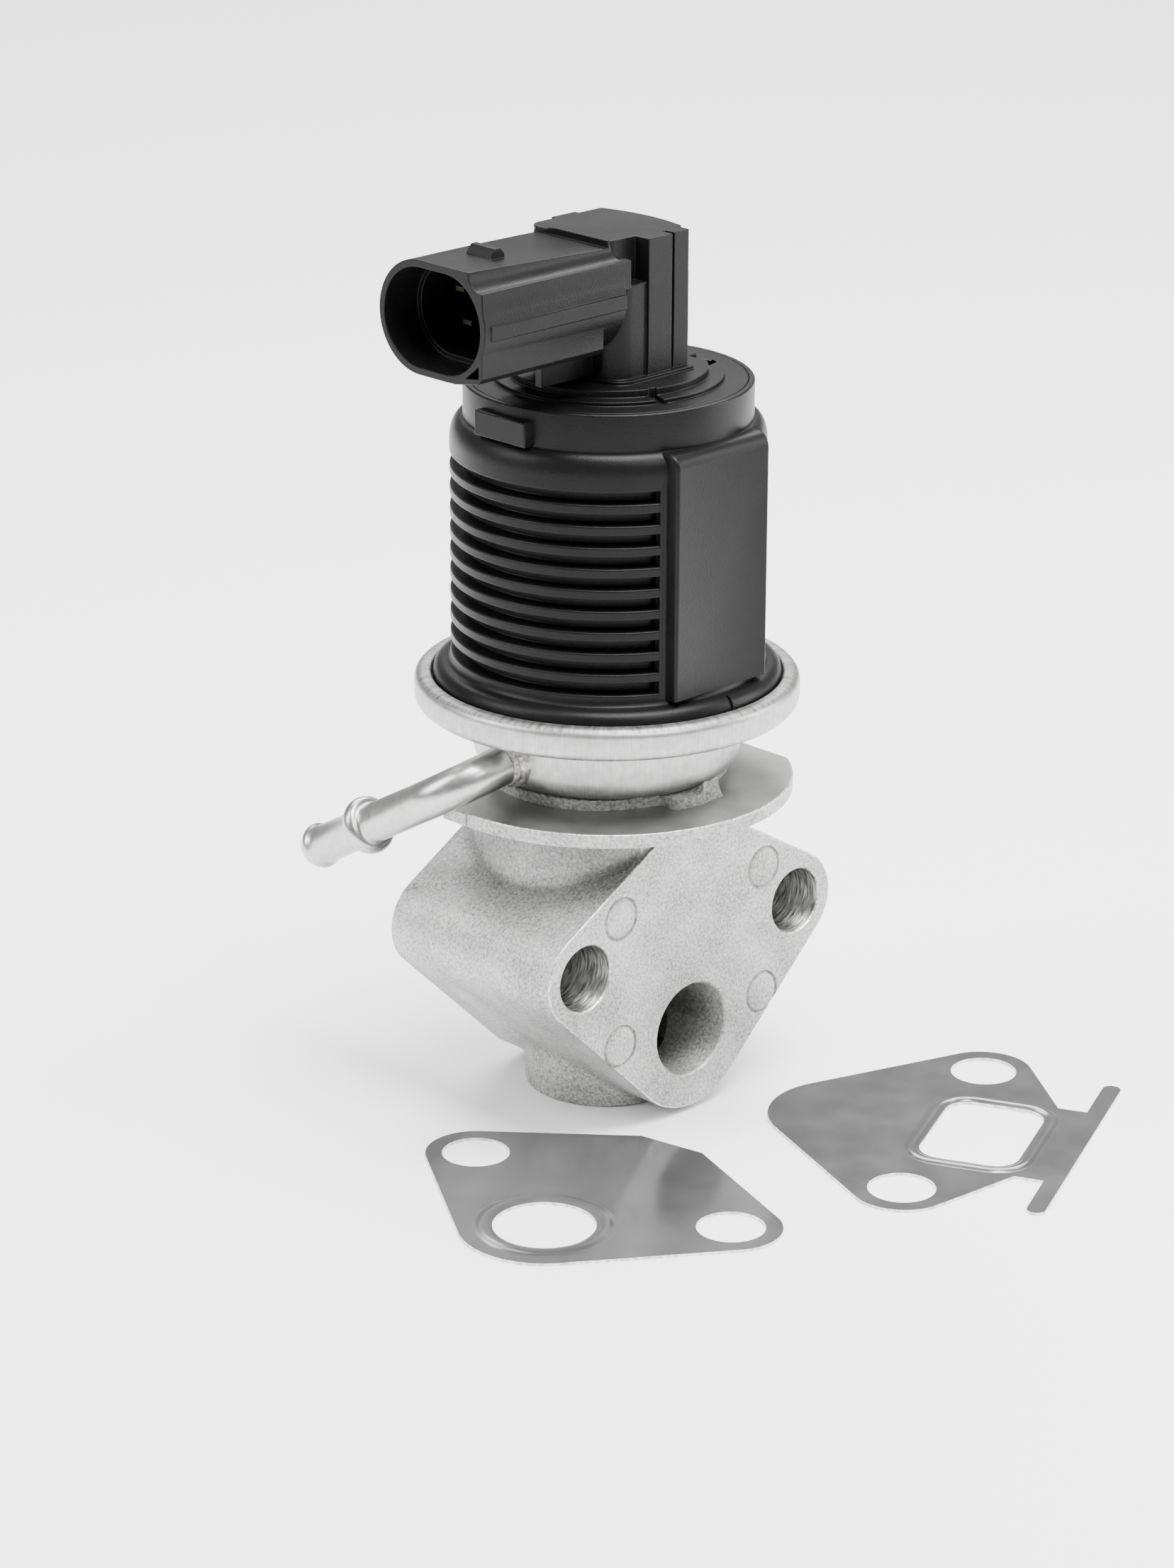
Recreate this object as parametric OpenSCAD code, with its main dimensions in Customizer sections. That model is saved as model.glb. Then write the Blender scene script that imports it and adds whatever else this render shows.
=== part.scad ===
// Solenoid exhaust gas recirculation valve with two loose flange gaskets.
// Millimetres. +Z runs up along the valve's axis, the origin is the centre of the foot's face,
// the bolted front face looks to -Y, and the plug socket points to -X.

/* [Casting] */
// Distance between the two bolt holes
bolt_spacing = 40; // [38:0.5:44]
// Radius of the bolt holes
bolt_hole_r = 4.5; // [3.5:0.25:4.75]
// Height of the bolt holes above the foot
bolt_z = 25; // [24.5:0.25:26]
// Radius of the block's ears round the bolt holes
ear_r = 6.7; // [6.2:0.1:7.5]
// Radius of the block's lower corner
tip_r = 11.2; // [10.5:0.1:12]
// Height of the front port above the foot
port_z = 12; // [11.5:0.25:13]
// Radius of the front port
port_r = 6.4; // [5:0.1:7]
// Height of the block's flat top above the bolt line
apex_h = 16.75; // [15.5:0.25:17.5]
// Half width of the block's flat top
apex_half = 4.8; // [3:0.2:7]
// From the axis to the front flange face
block_front = 16.5; // [15:0.5:20]
// From the axis to the back flange face
block_back = 14; // [12.5:0.5:18]
// Width of the back port
back_port_w = 18.4; // [15:0.2:19]
// Height of the back port
back_port_h = 13; // [10:0.5:14]
// Centre of the back port above the bolt line
back_port_up = 5.3; // [5:0.1:6]
// Radius of the foot boss
foot_r = 11; // [10.6:0.1:13]
// Radius of the neck below the disc
neck_r = 17.9; // [14:0.1:19]
// Height of the disc's underside
disc_z = 42.96; // [42.5:0.02:45]
// Thickness of the disc
disc_t = 1.85; // [1.5:0.05:3]
// Radius of the disc
disc_r = 25; // [23:0.25:28]
// From the axis to the disc's straight side edge
disc_side = 20.9; // [19:0.1:24]
// Radius of the shallow ejector marks
mark_r = 2.85; // [2:0.05:3.2]
// Depth of the shallow ejector marks
mark_depth = 0.15; // [0.05:0.05:0.4]

/* [Valve] */
// Radius of the two gas chambers
chamber_r = 8.5; // [8:0.1:9]
// Radius of the seat's opening
seat_bore_r = 5.6; // [4.5:0.1:6]
// Height of the seat ring's lower face
seat_z = 19.4; // [19:0.1:19.6]
// Thickness of the seat ring
seat_t = 3.8; // [3:0.1:4]
// Radius of the valve stem
stem_r = 2.5; // [2:0.1:3]
// How far the valve opens
valve_lift = 4.2; // [2:0.1:5]
// Running clearance of the stem in its guide
guide_gap = 0.04; // [0.02:0.01:0.08]
// Outer radius of the stem guide
guide_r = 4.6; // [4:0.1:5.5]

/* [Cup and vent pipe] */
// Thickness of the fibre gasket under the cup
fibre_t = 1.4; // [1:0.1:2.5]
// Sheet thickness of the cup
sheet_t = 1.2; // [0.8:0.1:1.4]
// From the cup's floor to the underside of its rim
cup_h = 8.6; // [8.2:0.1:12]
// Radius of the cup's floor
cup_low_r = 15.9; // [15:0.1:16.4]
// Radius of the cup's wall
cup_r = 18.1; // [17.6:0.1:19.5]
// Outer radius of the crimped rim
rim_r = 25.7; // [25.4:0.1:28]
// Height of the crimped rim
rim_h = 4.5; // [4:0.1:5]
// Width of the lip that is crimped over the body's foot
rim_lip = 2.3; // [2:0.1:2.6]
// Outer radius of the vent pipe
pipe_r = 2.65; // [2.2:0.05:2.7]
// Wall of the vent pipe
pipe_wall = 0.8; // [0.5:0.1:1.2]
// Height of the pipe's root above the cup's floor
pipe_up = 4.2; // [4:0.1:4.4]
// From the cup's wall to the corner of the pipe's bend
pipe_reach = 9.7; // [9:0.1:14]
// Fall of the pipe's first leg
pipe_fall = 7; // [4:0.5:9]
// Fall of the pipe's second leg
pipe_slope = 30; // [20:1:34]
// From the corner of the bend to the bead
pipe_leg = 19.6; // [17:0.1:26]
// Bend radius of the pipe
pipe_bend = 7; // [5:0.5:9]
// Radius of the pipe's bead
bead_r = 3.95; // [3.5:0.05:4.6]
// From the bead to the pipe's barb
hose_len = 10.4; // [6:0.2:14]
// Radius of the barb
barb_r = 3.1; // [2.9:0.05:3.4]
// Length of the barb
barb_len = 2.3; // [1.8:0.1:4]

/* [Solenoid body] */
// Radius over the ribs
body_r = 20.83; // [20.6:0.1:21.8]
// Number of ribs
rib_count = 10; // [9:1:12]
// Distance from rib to rib
rib_pitch = 2.842; // [2.8:0.02:3.2]
// Height of a rib's face
rib_face = 1.26; // [1:0.02:1.6]
// Depth of the grooves
groove_depth = 1.1; // [0.6:0.1:1.6]
// Half width of the stretch without grooves
smooth_half = 10.2; // [9.5:0.1:12]
// Height of the body's foot flange below the first rib
foot_h = 3.95; // [3.9:0.05:5]
// From the axis to the flat pad's face
pad_out = 20.9; // [20.8:0.05:21.8]
// Half width of the flat pad
pad_half = 8.15; // [6:0.1:8.8]
// Bevel along the pad's sides
pad_bevel = 0.5; // [0.2:0.1:0.8]
// Radius of the collar
collar_r = 19.07; // [18.8:0.05:19.6]
// Height of the collar
collar_h = 5; // [4.6:0.1:8]
// Height of the plain band above the ribs
band_h = 1.78; // [1.4:0.02:4]
// Height of the shoulder below the collar
shoulder_h = 3; // [2.4:0.1:4]
// Thickness of the roof over the coil
roof_t = 2.85; // [2.4:0.05:3.4]
// From the axis to the collar tab's face
tab_out = 20; // [19.8:0.1:22]
// Width of the collar tab
tab_w = 9.3; // [6:0.1:12]
// Height of the collar tab
tab_h = 3.35; // [2:0.05:4]

/* [Magnet] */
// Thickness of the flux plate in the rim
plate_t = 1.2; // [1:0.1:1.5]
// Height of the pole
pole_h = 9.9; // [9:0.1:11]
// Radius of the pole
pole_r = 7; // [6.4:0.1:7.2]
// Depth of the spring well in the pole
well_depth = 5.7; // [5:0.1:6.2]
// Running clearance of the armature in its sleeve
armature_gap = 0.15; // [0.1:0.01:0.2]
// Length of the armature
armature_len = 17.7; // [14:0.1:17.8]
// Outer radius of the yoke sleeve
yoke_r = 17.35; // [17:0.05:17.4]
// Wall of the yoke sleeve
yoke_wall = 1.65; // [1.2:0.05:1.7]
// Thickness of the top plate
top_plate_t = 2; // [1.6:0.1:2.2]
// Wire radius of the return spring
spring_wire_r = 0.45; // [0.3:0.05:0.5]
// Number of turns of the return spring
spring_turns = 5; // [4:1:5]

/* [Cover and tower] */
// Thickness of the cover's plate
cover_t = 2.4; // [2:0.1:3]
// Radius of the lower step on the cover
step_low_r = 15.1; // [14.2:0.1:16]
// Radius of the upper step on the cover
step_high_r = 13; // [12.9:0.05:13.6]
// Height of the tower above the collar
tower_h = 19.95; // [19.6:0.05:24]
// From the axis to the tower's rounded back
tower_back = 7.7; // [7.6:0.1:8.6]
// From the axis to the tower's side towards the socket
tower_front = 7; // [6.8:0.1:8]
// From the axis to the tower's flat panels
tower_half = 8.7; // [8.6:0.1:9.4]
// Width of the tower's flat panels
panel_w = 4.3; // [3.4:0.1:4.6]
// Width of the upright slot in the tower
slot_w = 0.7; // [0.4:0.1:0.9]

/* [Plug socket] */
// From the axis to the socket's mouth
socket_reach = 31.2; // [30:0.2:36]
// Height of the socket's axis above the collar
socket_up = 12.9; // [12.6:0.05:13.4]
// Width of the socket's mouth
socket_w = 17.6; // [16.6:0.1:18.4]
// Height of the socket's mouth
socket_h = 12.9; // [12.4:0.1:13.2]
// Wall of the socket
socket_wall = 0.95; // [0.8:0.05:1]
// Depth of the socket's wider mouth
mouth_depth = 5.7; // [4:0.1:8]
// Step between the mouth and the deeper socket
mouth_step = 0.7; // [0.4:0.1:1]
// From the axis to the socket's floor
socket_floor = 13.5; // [12:0.1:15]
// Length of the blades in the socket
pin_len = 9.5; // [7:0.5:11]
// Width of a blade
pin_w = 1.5; // [1:0.1:1.6]
// Thickness of a blade
pin_t = 0.6; // [0.4:0.1:0.8]

/* [Loose gaskets] */
// Sheet thickness of the loose gaskets
seal_t = 0.4; // [0.3:0.05:0.8]
// Height of the raised beads round the ports
seal_bead = 0.3; // [0.1:0.05:0.5]
// Radius of the port in the front gasket
seal_port_r = 6.7; // [6:0.1:7.5]
// Half length of the rear gasket's bar
bar_half = 21.3; // [18:0.1:24]
// Width of the rear gasket's bar
bar_w = 2.5; // [2:0.1:4]
// Half width of the neck below the bar
bar_neck = 11.5; // [9:0.1:14]
// Middle of the front gasket's bolt line on the floor
seal_front_at = [-26.7, -26.3];
// Turn of the front gasket
seal_front_turn = -78.6; // [-84:0.2:-70]
// Middle of the rear gasket's bolt line on the floor
seal_rear_at = [19.7, -44.6];
// Turn of the rear gasket
seal_rear_turn = 205.6; // [200:0.2:212]

/* [Hidden] */
$fn = 96;
e = 0.01;
over = 1;

// Heights up the stack
disc_top = disc_z + disc_t;
cup_z = disc_top + fibre_t;
rim_z = cup_z + cup_h;
plate_z = rim_z + sheet_t;
plate_top = plate_z + plate_t;
rib_z = plate_top + foot_h;
groove_top = rib_z + rib_count * rib_pitch;
body_top = groove_top + band_h + shoulder_h;
collar_top = body_top + collar_h;
roof_z = body_top - roof_t;
top_plate_z = roof_z - 0.2 - top_plate_t;
ledge_z = collar_top - cover_t;
tower_top = collar_top + tower_h;
socket_z = collar_top + socket_up;

// Casting
tip_z = port_z;
neck_front = block_front - 0.5;
lug_at = [-disc_r - 0.3, 0.8];
lug_size = [3, 4.2];
back_port_z = bolt_z + back_port_up;
plug_t = 4.4;
plug_r = chamber_r + 0.1;
seat_top = seat_z + seat_t;
chamber_top = back_port_z + back_port_h / 2 - 0.5;
spigot_r = 8;
stake_r = 9.4;
stake_t = 0.9;
spigot_top = cup_z + sheet_t + stake_t;
mark_x = 13.54;
mark_low = 1.45;
mark_high = 6.66;

// Valve: the seat's cone and the head's cone are parallel, a hair apart
seat_cone = 1.5;
head_gap = 0.06;
head_r = seat_bore_r + seat_cone - 0.25;
head_rim_t = 1.2;
head_top_r = seat_bore_r - 0.2;
cone_sum = seat_bore_r + seat_z + seat_cone - head_gap;
guide_low = chamber_top - 3.5;
seal_h = 2.6;
seal_r = 6;

// Cup
rim_top = rim_z + rim_h;
rim_in_r = rim_r - sheet_t;
lip_r = rim_r - rim_lip;
flange_r = lip_r - 0.2;
clamp_r = rim_in_r - 0.1;
lip_z = rim_top - sheet_t;

// Fibre gasket
fibre_r = cup_low_r + 0.4;
lobe_r = 2.4;
lobe_out = cup_low_r - 0.3;
lobe_turns = [-98, -82];

// Vent pipe: root on the cup's wall, first leg to -X, second leg to +Y and down
pipe_root_z = cup_z + pipe_up;
pipe_dir = [-cos(pipe_fall), 0, -sin(pipe_fall)];
pipe_dir2 = [0, cos(pipe_slope), -sin(pipe_slope)];
pipe_corner = [-cup_r, 0, pipe_root_z] + pipe_reach * pipe_dir;
pipe_start = 3;
bend_thin = 0.03;
pipe_turn = acos(pipe_dir * pipe_dir2);
pipe_tangent = pipe_bend * tan(pipe_turn / 2);
braze_in = 1.3;
braze_len = 1.9;
braze_low_r = pipe_r + 0.25;
braze_high_r = pipe_r + 0.9;

// Magnet
pole_top = plate_z + pole_h;
well_r = 5.2;
well_z = pole_top - well_depth;
sleeve_r = pole_r + 0.05;
sleeve_wall = 0.45;
armature_r = sleeve_r - armature_gap;
armature_z = pole_top + valve_lift + 0.2;
armature_top = armature_z + armature_len;
clip_r = 4;
clip_t = 2;
stem_step = 0.5;
stem_top = armature_top + clip_t + 1.8;
coil_in_r = sleeve_r + sleeve_wall + 0.05;
yoke_in_r = yoke_r - yoke_wall;
bobbin_r = yoke_in_r - 0.2;
bobbin_wall = 1.2;
bobbin_cheek = 1.6;
coil_room_r = yoke_r + 0.05;
spring_r = (stem_r + 0.4 + well_r) / 2 + 0.2;

// Coil leads
lead_x = 9;
lead_t = 0.6;
lead_w = 1.6;
lead_gap = 0.15;
lead_y = 2.25;
lead_in_x = 4.1;
lead_run_z = body_top + 0.85;

// Sensor
rod_r = 1.5;
rod_gap = 0.1;
slider_z = collar_top + 1.6 + valve_lift;
slider_h = 5;
track_t = 1.2;
cavity_left = -5;
cavity_right = 5.6;
cavity_front = -4.6;
cavity_back = 5.8;
cavity_top = tower_top - 1.95;
spring_nose = 4;
nose_r = 0.9;
slider_half = 2.4;
slider_front = -1.8;
slider_back = 2.4;
wiper_half = 2;
wiper_t = 0.3;

// Cover
cover_r = collar_r - 0.85;
step_low_h = 0.55;
step_high_h = 1.5;
chamber_in_r = cover_r - 3.05;
oring_r = 0.65;
foot_oring_r = 0.75;
seal_room = 0.05;
foot_ring_r = coil_room_r + 2.2;
cover_ring_r = (chamber_in_r + cover_r) / 2 - 0.15;

// Tower plan
tower_arc_r = 24;
tower_step = 2.1;
high_corner_r = 2;
low_corner_r = 3;
panel_x = -1.5;
slot_depth = 2;
column_top = socket_z + 1.35;
foot_flare = 0.5;
side_front = tower_half - 0.4;
side_back = tower_half - 0.7;

// Plug socket section, measured from the socket's axis
sock_half_h = socket_h / 2;
sock_shift = (socket_w - socket_h) / 2;
out_half_h = sock_half_h + socket_wall;
side_y = sock_shift + out_half_h - 0.5;
cove_r = 2.6;
top_fall = 1;
panel_top = 5.05;
panel_low = 1.35;
rib_high = 0.85;
rib_low = -1.05;
rib_out = 0.65;
side_low = -6.6;
panel_end = 5.2;
rib_end = 6.5;
side_end = 10;
pin_rows = [[-3.8, 2.05], [0, 2.05], [3.6, 2.05], [-lead_y, -2.05], [lead_y, -2.05]];
pin_in_x = 3.8;
bump_x = -24.1;
bump_y = 1.4;
bump_w = 4.5;
gusset_out = 16;
gusset_rows = [-4, 2.8];
gusset_t = 1.2;
gusset_h = 4;

// Marks on the cover's upper step: a notch and a shallow pocket
notch_turn = -109;
notch_w = 1;
pocket_at = [10.7, -6.3];
pocket_size = [2.8, 2.4];

// Angle of the normal that two circles share on their right-hand outer tangent
function tangent_normal(a, ra, b, rb) =
    atan2(b[1] - a[1], b[0] - a[0]) - acos((ra - rb) / norm(b - a));
function on_circle(c, r, angle) = c + r * [cos(angle), sin(angle)];

// Kite outline of the block and of both gaskets, bolt line at y = 0
module kite_outline() {
    ear = [bolt_spacing / 2, 0];
    tip = [0, tip_z - bolt_z];
    apex = [apex_half, apex_h];
    low = tangent_normal(tip, tip_r, ear, ear_r);
    high = tangent_normal(ear, ear_r, apex, 0);
    right = [
        on_circle(tip, tip_r, low), on_circle(ear, ear_r, low),
        on_circle(ear, ear_r, high), apex
    ];
    left = [for (i = [3:-1:0]) [-right[i][0], right[i][1]]];
    polygon(concat(right, left));
    translate(tip) circle(r = tip_r);
    for (side = [-1, 1]) translate([side * ear[0], 0]) circle(r = ear_r);
}

module bolt_hole_outline() {
    for (side = [-1, 1]) translate([side * bolt_spacing / 2, 0]) circle(r = bolt_hole_r);
}

// Rectangle with rounded corners, from one corner to the other
module round_box(low, high, r) {
    w = high[0] - low[0];
    h = high[1] - low[1];
    translate([low[0] + r, low[1]]) square([w - 2 * r, h]);
    translate([low[0], low[1] + r]) square([w, h - 2 * r]);
    for (x = [low[0] + r, high[0] - r], y = [low[1] + r, high[1] - r])
        translate([x, y]) circle(r = r);
}

module back_port_outline(grow = 0) {
    half_w = back_port_w / 2 + grow;
    half_h = back_port_h / 2 + grow;
    translate([0, back_port_up]) round_box([-half_w, -half_h], [half_w, half_h], 3 + grow);
}

// Stands an outline drawn on the bolt line upright and gives it depth along Y
module along_y(from_y, to_y) {
    translate([0, to_y, bolt_z]) rotate([90, 0, 0]) linear_extrude(to_y - from_y) children();
}

module ring(outer, inner, z, h) {
    translate([0, 0, z]) difference() {
        cylinder(r = outer, h = h);
        translate([0, 0, -over]) cylinder(r = inner, h = h + 2 * over);
    }
}

module o_ring(r, wire, z) {
    translate([0, 0, z]) rotate_extrude() translate([r, 0]) circle(r = wire, $fn = 32);
}

// Disc of the casting, with its straight edges and the small lug by the pipe
module disc_plate() {
    intersection() {
        translate([0, 0, disc_z]) union() {
            cylinder(r = disc_r, h = disc_t);
            translate([lug_at[0], lug_at[1], 0]) cube([lug_size[0], lug_size[1], disc_t]);
        }
        translate([-2 * disc_r, -2 * disc_r, 0])
            cube([2 * disc_r + disc_side, 2 * disc_r + block_back, disc_top]);
    }
}

module cast_housing() {
    color("#b9babb") difference() {
        union() {
            along_y(-block_front, block_back) kite_outline();
            cylinder(r = foot_r, h = tip_z);
            intersection() {
                translate([0, 0, bolt_z]) cylinder(r = neck_r, h = disc_z - bolt_z + e);
                translate([-neck_r, -neck_front, 0])
                    cube([2 * neck_r, neck_front + block_back, disc_top]);
            }
            disc_plate();
            cylinder(r = spigot_r, h = spigot_top);
            translate([0, 0, cup_z + sheet_t]) cylinder(r = stake_r, h = stake_t);
        }
        along_y(-block_front - over, block_back + over) bolt_hole_outline();
        translate([0, -block_front - over, port_z]) rotate([-90, 0, 0])
            cylinder(r = port_r, h = block_front + over);
        along_y(0, block_back + over) back_port_outline();
        translate([0, 0, -over]) cylinder(r = plug_r, h = plug_t + over);
        cylinder(r = chamber_r, h = chamber_top);
        cylinder(r = guide_r, h = spigot_top + over);
        for (x = [-mark_x, mark_x], z = [bolt_z + mark_high, port_z + mark_low])
            translate([x, -block_front - over, z]) rotate([-90, 0, 0])
                ring(mark_r, mark_r - 0.35, 0, over + mark_depth);
    }
}

module bottom_plug() {
    color("#9a9b9c") difference() {
        cylinder(r = plug_r, h = plug_t);
        translate([0, 0, 1.4]) cylinder(r = plug_r - 1.4, h = plug_t);
    }
}

module valve_seat() {
    color("#8c8d8f") rotate_extrude() polygon([
        [seat_bore_r, seat_z + seat_cone],
        [seat_bore_r + seat_cone, seat_z],
        [chamber_r, seat_z],
        [chamber_r, seat_top],
        [seat_bore_r, seat_top]
    ]);
}

// Poppet head and stem, turned from one bar
module valve_stem() {
    color("#7f8082") rotate_extrude() polygon([
        [0, cone_sum - head_r - head_rim_t],
        [head_r - 0.4, cone_sum - head_r - head_rim_t],
        [head_r, cone_sum - head_r - head_rim_t + 0.4],
        [head_r, cone_sum - head_r],
        [head_top_r, cone_sum - head_top_r],
        [stem_r + 0.8, cone_sum - head_top_r + 0.7],
        [stem_r, cone_sum - head_top_r + 2],
        [stem_r, armature_top],
        [stem_r - stem_step, armature_top],
        [stem_r - stem_step, stem_top - 0.4],
        [stem_r - stem_step - 0.4, stem_top],
        [0, stem_top]
    ]);
}

module stem_guide() {
    color("#a98f5d") ring(guide_r, stem_r + guide_gap, guide_low, spigot_top - guide_low);
}

// Cap with a lip that wipes the stem
module stem_seal() {
    color("#2b2b2b") rotate_extrude() polygon([
        [stem_r + guide_gap, spigot_top],
        [seal_r, spigot_top],
        [seal_r, spigot_top + seal_h - 0.8],
        [seal_r - 0.8, spigot_top + seal_h],
        [stem_r + guide_gap, spigot_top + seal_h]
    ]);
}

// Fibre ring with one lobe that sticks out past the cup
module fibre_gasket() {
    color("#8d8f90") translate([0, 0, disc_top]) difference() {
        union() {
            cylinder(r = fibre_r, h = fibre_t);
            for (turn = lobe_turns)
                rotate([0, 0, turn]) translate([lobe_out, 0, 0]) cylinder(r = lobe_r, h = fibre_t);
        }
        translate([0, 0, -over]) cylinder(r = spigot_r + 0.1, h = fibre_t + 2 * over);
    }
}

// Outside of the drawn cup, from its floor up to the top of the crimped rim
cup_outside = [
        [cup_low_r - 1.3, cup_z],
        [cup_low_r - 0.5, cup_z + 0.12],
        [cup_low_r + 0.2, cup_z + 0.5],
        [cup_r - 1.1, cup_z + 1.4],
        [cup_r - 0.5, cup_z + 2.5],
        [cup_r - 0.1, cup_z + 4.2],
        [cup_r + 0.1, rim_z - 2.2],
        [cup_r + 0.5, rim_z - 1],
        [cup_r + 1.3, rim_z - 0.3],
        [cup_r + 2.6, rim_z],
        [rim_r - 1.5, rim_z],
        [rim_r - 0.7, rim_z + 0.25],
        [rim_r - 0.2, rim_z + 0.8],
        [rim_r, rim_z + 1.6],
        [rim_r, rim_top - 1.2],
        [rim_r - 0.25, rim_top - 0.5],
        [rim_r - 0.9, rim_top - 0.05],
        [rim_r - 1.5, rim_top]
];

// Half section of the cup's sheet: its outside, then the lip and the inside back down
module cup_section() {
    t = sheet_t;
    wall_in = cup_r - t;
    polygon(concat([[spigot_r + 0.1, cup_z]], cup_outside, [
        [lip_r + 0.2, rim_top - 0.1],
        [lip_r, rim_top - 0.4],
        [lip_r, lip_z],
        [rim_in_r, lip_z],
        [rim_in_r, plate_z],
        [cup_r + 2.4, plate_z],
        [cup_r + 0.5, plate_z - 0.6],
        [wall_in + 0.4, plate_z - 1.6],
        [wall_in, rim_z - 2.4],
        [wall_in - 0.1, cup_z + 4.2],
        [wall_in - 0.6, cup_z + 2.9],
        [wall_in - 1.2, cup_z + 2],
        [cup_low_r - 1, cup_z + t + 0.3],
        [cup_low_r - 2, cup_z + t],
        [spigot_r + 0.1, cup_z + t]
    ]));
}

// Puts the pipe's corner at the origin, x back along the first leg, y towards the second leg
module at_pipe_corner() {
    roll = -atan(tan(pipe_slope) * cos(pipe_fall));
    translate(pipe_corner) rotate([roll, -pipe_fall, 0]) children();
}

// z runs down the second leg
module along_pipe_end() {
    at_pipe_corner() rotate([0, 0, 180 - pipe_turn]) rotate([0, 90, 0]) children();
}

// Pipe or its bore: two legs and the bend, which is drawn a little thinner by the bending
module pipe_solid(r, from_cup, second) {
    leg_from = pipe_tangent - 0.3;
    at_pipe_corner() {
        translate([leg_from, 0, 0]) rotate([0, 90, 0])
            cylinder(r = r, h = pipe_reach + from_cup - leg_from);
        translate([pipe_tangent, pipe_bend, 0]) rotate([0, 0, -90 - pipe_turn])
            rotate_extrude(angle = pipe_turn) translate([pipe_bend, 0]) circle(r = r - bend_thin);
    }
    along_pipe_end() translate([0, 0, leg_from]) cylinder(r = r, h = second - leg_from);
}

module vent_tube() {
    barb_z = pipe_leg + hose_len;
    end_z = barb_z + barb_len;
    color("#c9cacb") difference() {
        union() {
            pipe_solid(pipe_r, pipe_start, barb_z + e);
            along_pipe_end() translate([0, 0, pipe_leg]) rotate_extrude()
                translate([bead_r - 0.85, 0]) circle(r = 0.85, $fn = 32);
            along_pipe_end() translate([0, 0, barb_z]) {
                cylinder(r = barb_r, h = 0.6);
                translate([0, 0, 0.6]) cylinder(r1 = barb_r, r2 = pipe_r - 0.2, h = barb_len - 0.6);
            }
        }
        pipe_solid(pipe_r - pipe_wall, pipe_start + over, end_z + over);
    }
}

module steel_cup() {
    color("#bfc0c2") difference() {
        rotate_extrude() cup_section();
        at_pipe_corner() translate([pipe_tangent, 0, 0]) rotate([0, 90, 0])
            cylinder(r = pipe_r, h = pipe_reach + pipe_start + over);
    }
}

// Fillet of braze round the pipe's root
module tube_braze() {
    color("#a9a48f") difference() {
        at_pipe_corner() translate([pipe_reach - braze_in, 0, 0]) rotate([0, 90, 0])
            cylinder(r1 = braze_low_r, r2 = braze_high_r, h = braze_len);
        at_pipe_corner() translate([pipe_reach - braze_in - over, 0, 0]) rotate([0, 90, 0])
            cylinder(r = pipe_r, h = braze_len + 2 * over);
        rotate_extrude() polygon(concat([[0, cup_z]], cup_outside, [[0, rim_top]]));
    }
}

module flux_plate() {
    color("#707173") ring(clamp_r, pole_r, plate_z, plate_t);
}

module pole_core() {
    color("#6a6b6d") difference() {
        translate([0, 0, plate_z]) cylinder(r = pole_r, h = pole_h);
        translate([0, 0, well_z]) cylinder(r = well_r, h = well_depth + over);
        translate([0, 0, plate_z - over]) cylinder(r = stem_r + 0.3, h = pole_h);
    }
}

module armature_tube() {
    color("#b59a5b") ring(sleeve_r + sleeve_wall, sleeve_r, plate_top, top_plate_z - plate_top);
}

module armature() {
    color("#77787a") ring(armature_r, stem_r, armature_z, armature_len);
}

module armature_clip() {
    color("#8a8b8d") difference() {
        translate([0, 0, armature_top]) cylinder(r = clip_r, h = clip_t, $fn = 6);
        translate([0, 0, armature_top - over]) cylinder(r = stem_r - stem_step, h = clip_t + 2 * over);
    }
}

// Round wire wound on a helix between two heights
module coil_spring(r, wire, z_low, z_high, turns, steps = 14, sides = 6) {
    rise = z_high - z_low - 2 * wire;
    count = turns * steps;
    points = [
        for (i = [0:count], k = [0:sides - 1])
            let (a = 360 * i / steps, b = 360 * k / sides, q = r + wire * cos(b))
            [q * cos(a), q * sin(a), z_low + wire + rise * i / count + wire * sin(b)]
    ];
    walls = [
        for (i = [0:count - 1], k = [0:sides - 1])
            let (n = (k + 1) % sides, p = i * sides)
            [p + k, p + n, p + sides + n, p + sides + k]
    ];
    start = [for (k = [sides - 1:-1:0]) k];
    end = [for (k = [0:sides - 1]) count * sides + k];
    polyhedron(points, concat(walls, [start, end]), convexity = 10);
}

module return_spring() {
    color("#9fa0a2") coil_spring(spring_r, spring_wire_r, well_z, armature_z, spring_turns);
}

module bobbin() {
    core_r = coil_in_r + bobbin_wall;
    color("#2d2f31") {
        ring(core_r, coil_in_r, plate_top, top_plate_z - plate_top);
        ring(bobbin_r, core_r - e, plate_top, bobbin_cheek);
        ring(bobbin_r, core_r - e, top_plate_z - bobbin_cheek, bobbin_cheek);
    }
}

module winding() {
    low = plate_top + bobbin_cheek;
    color("#a5643a") ring(bobbin_r - 0.6, coil_in_r + bobbin_wall, low, top_plate_z - bobbin_cheek - low);
}

module yoke_sleeve() {
    color("#6f7072") ring(yoke_r, yoke_in_r, plate_top, top_plate_z - plate_top);
}

// Slots for the two coil leads, a gap wider than the blades all round
module lead_slots(z, h) {
    for (side = [-1, 1])
        translate([-lead_x - lead_t / 2 - lead_gap, side * lead_y - lead_w / 2 - lead_gap, z])
            cube([lead_t + 2 * lead_gap, lead_w + 2 * lead_gap, h]);
}

module top_plate() {
    color("#707173") difference() {
        ring(yoke_r, sleeve_r + sleeve_wall, top_plate_z, top_plate_t);
        lead_slots(top_plate_z - over, top_plate_t + 2 * over);
    }
}

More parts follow.
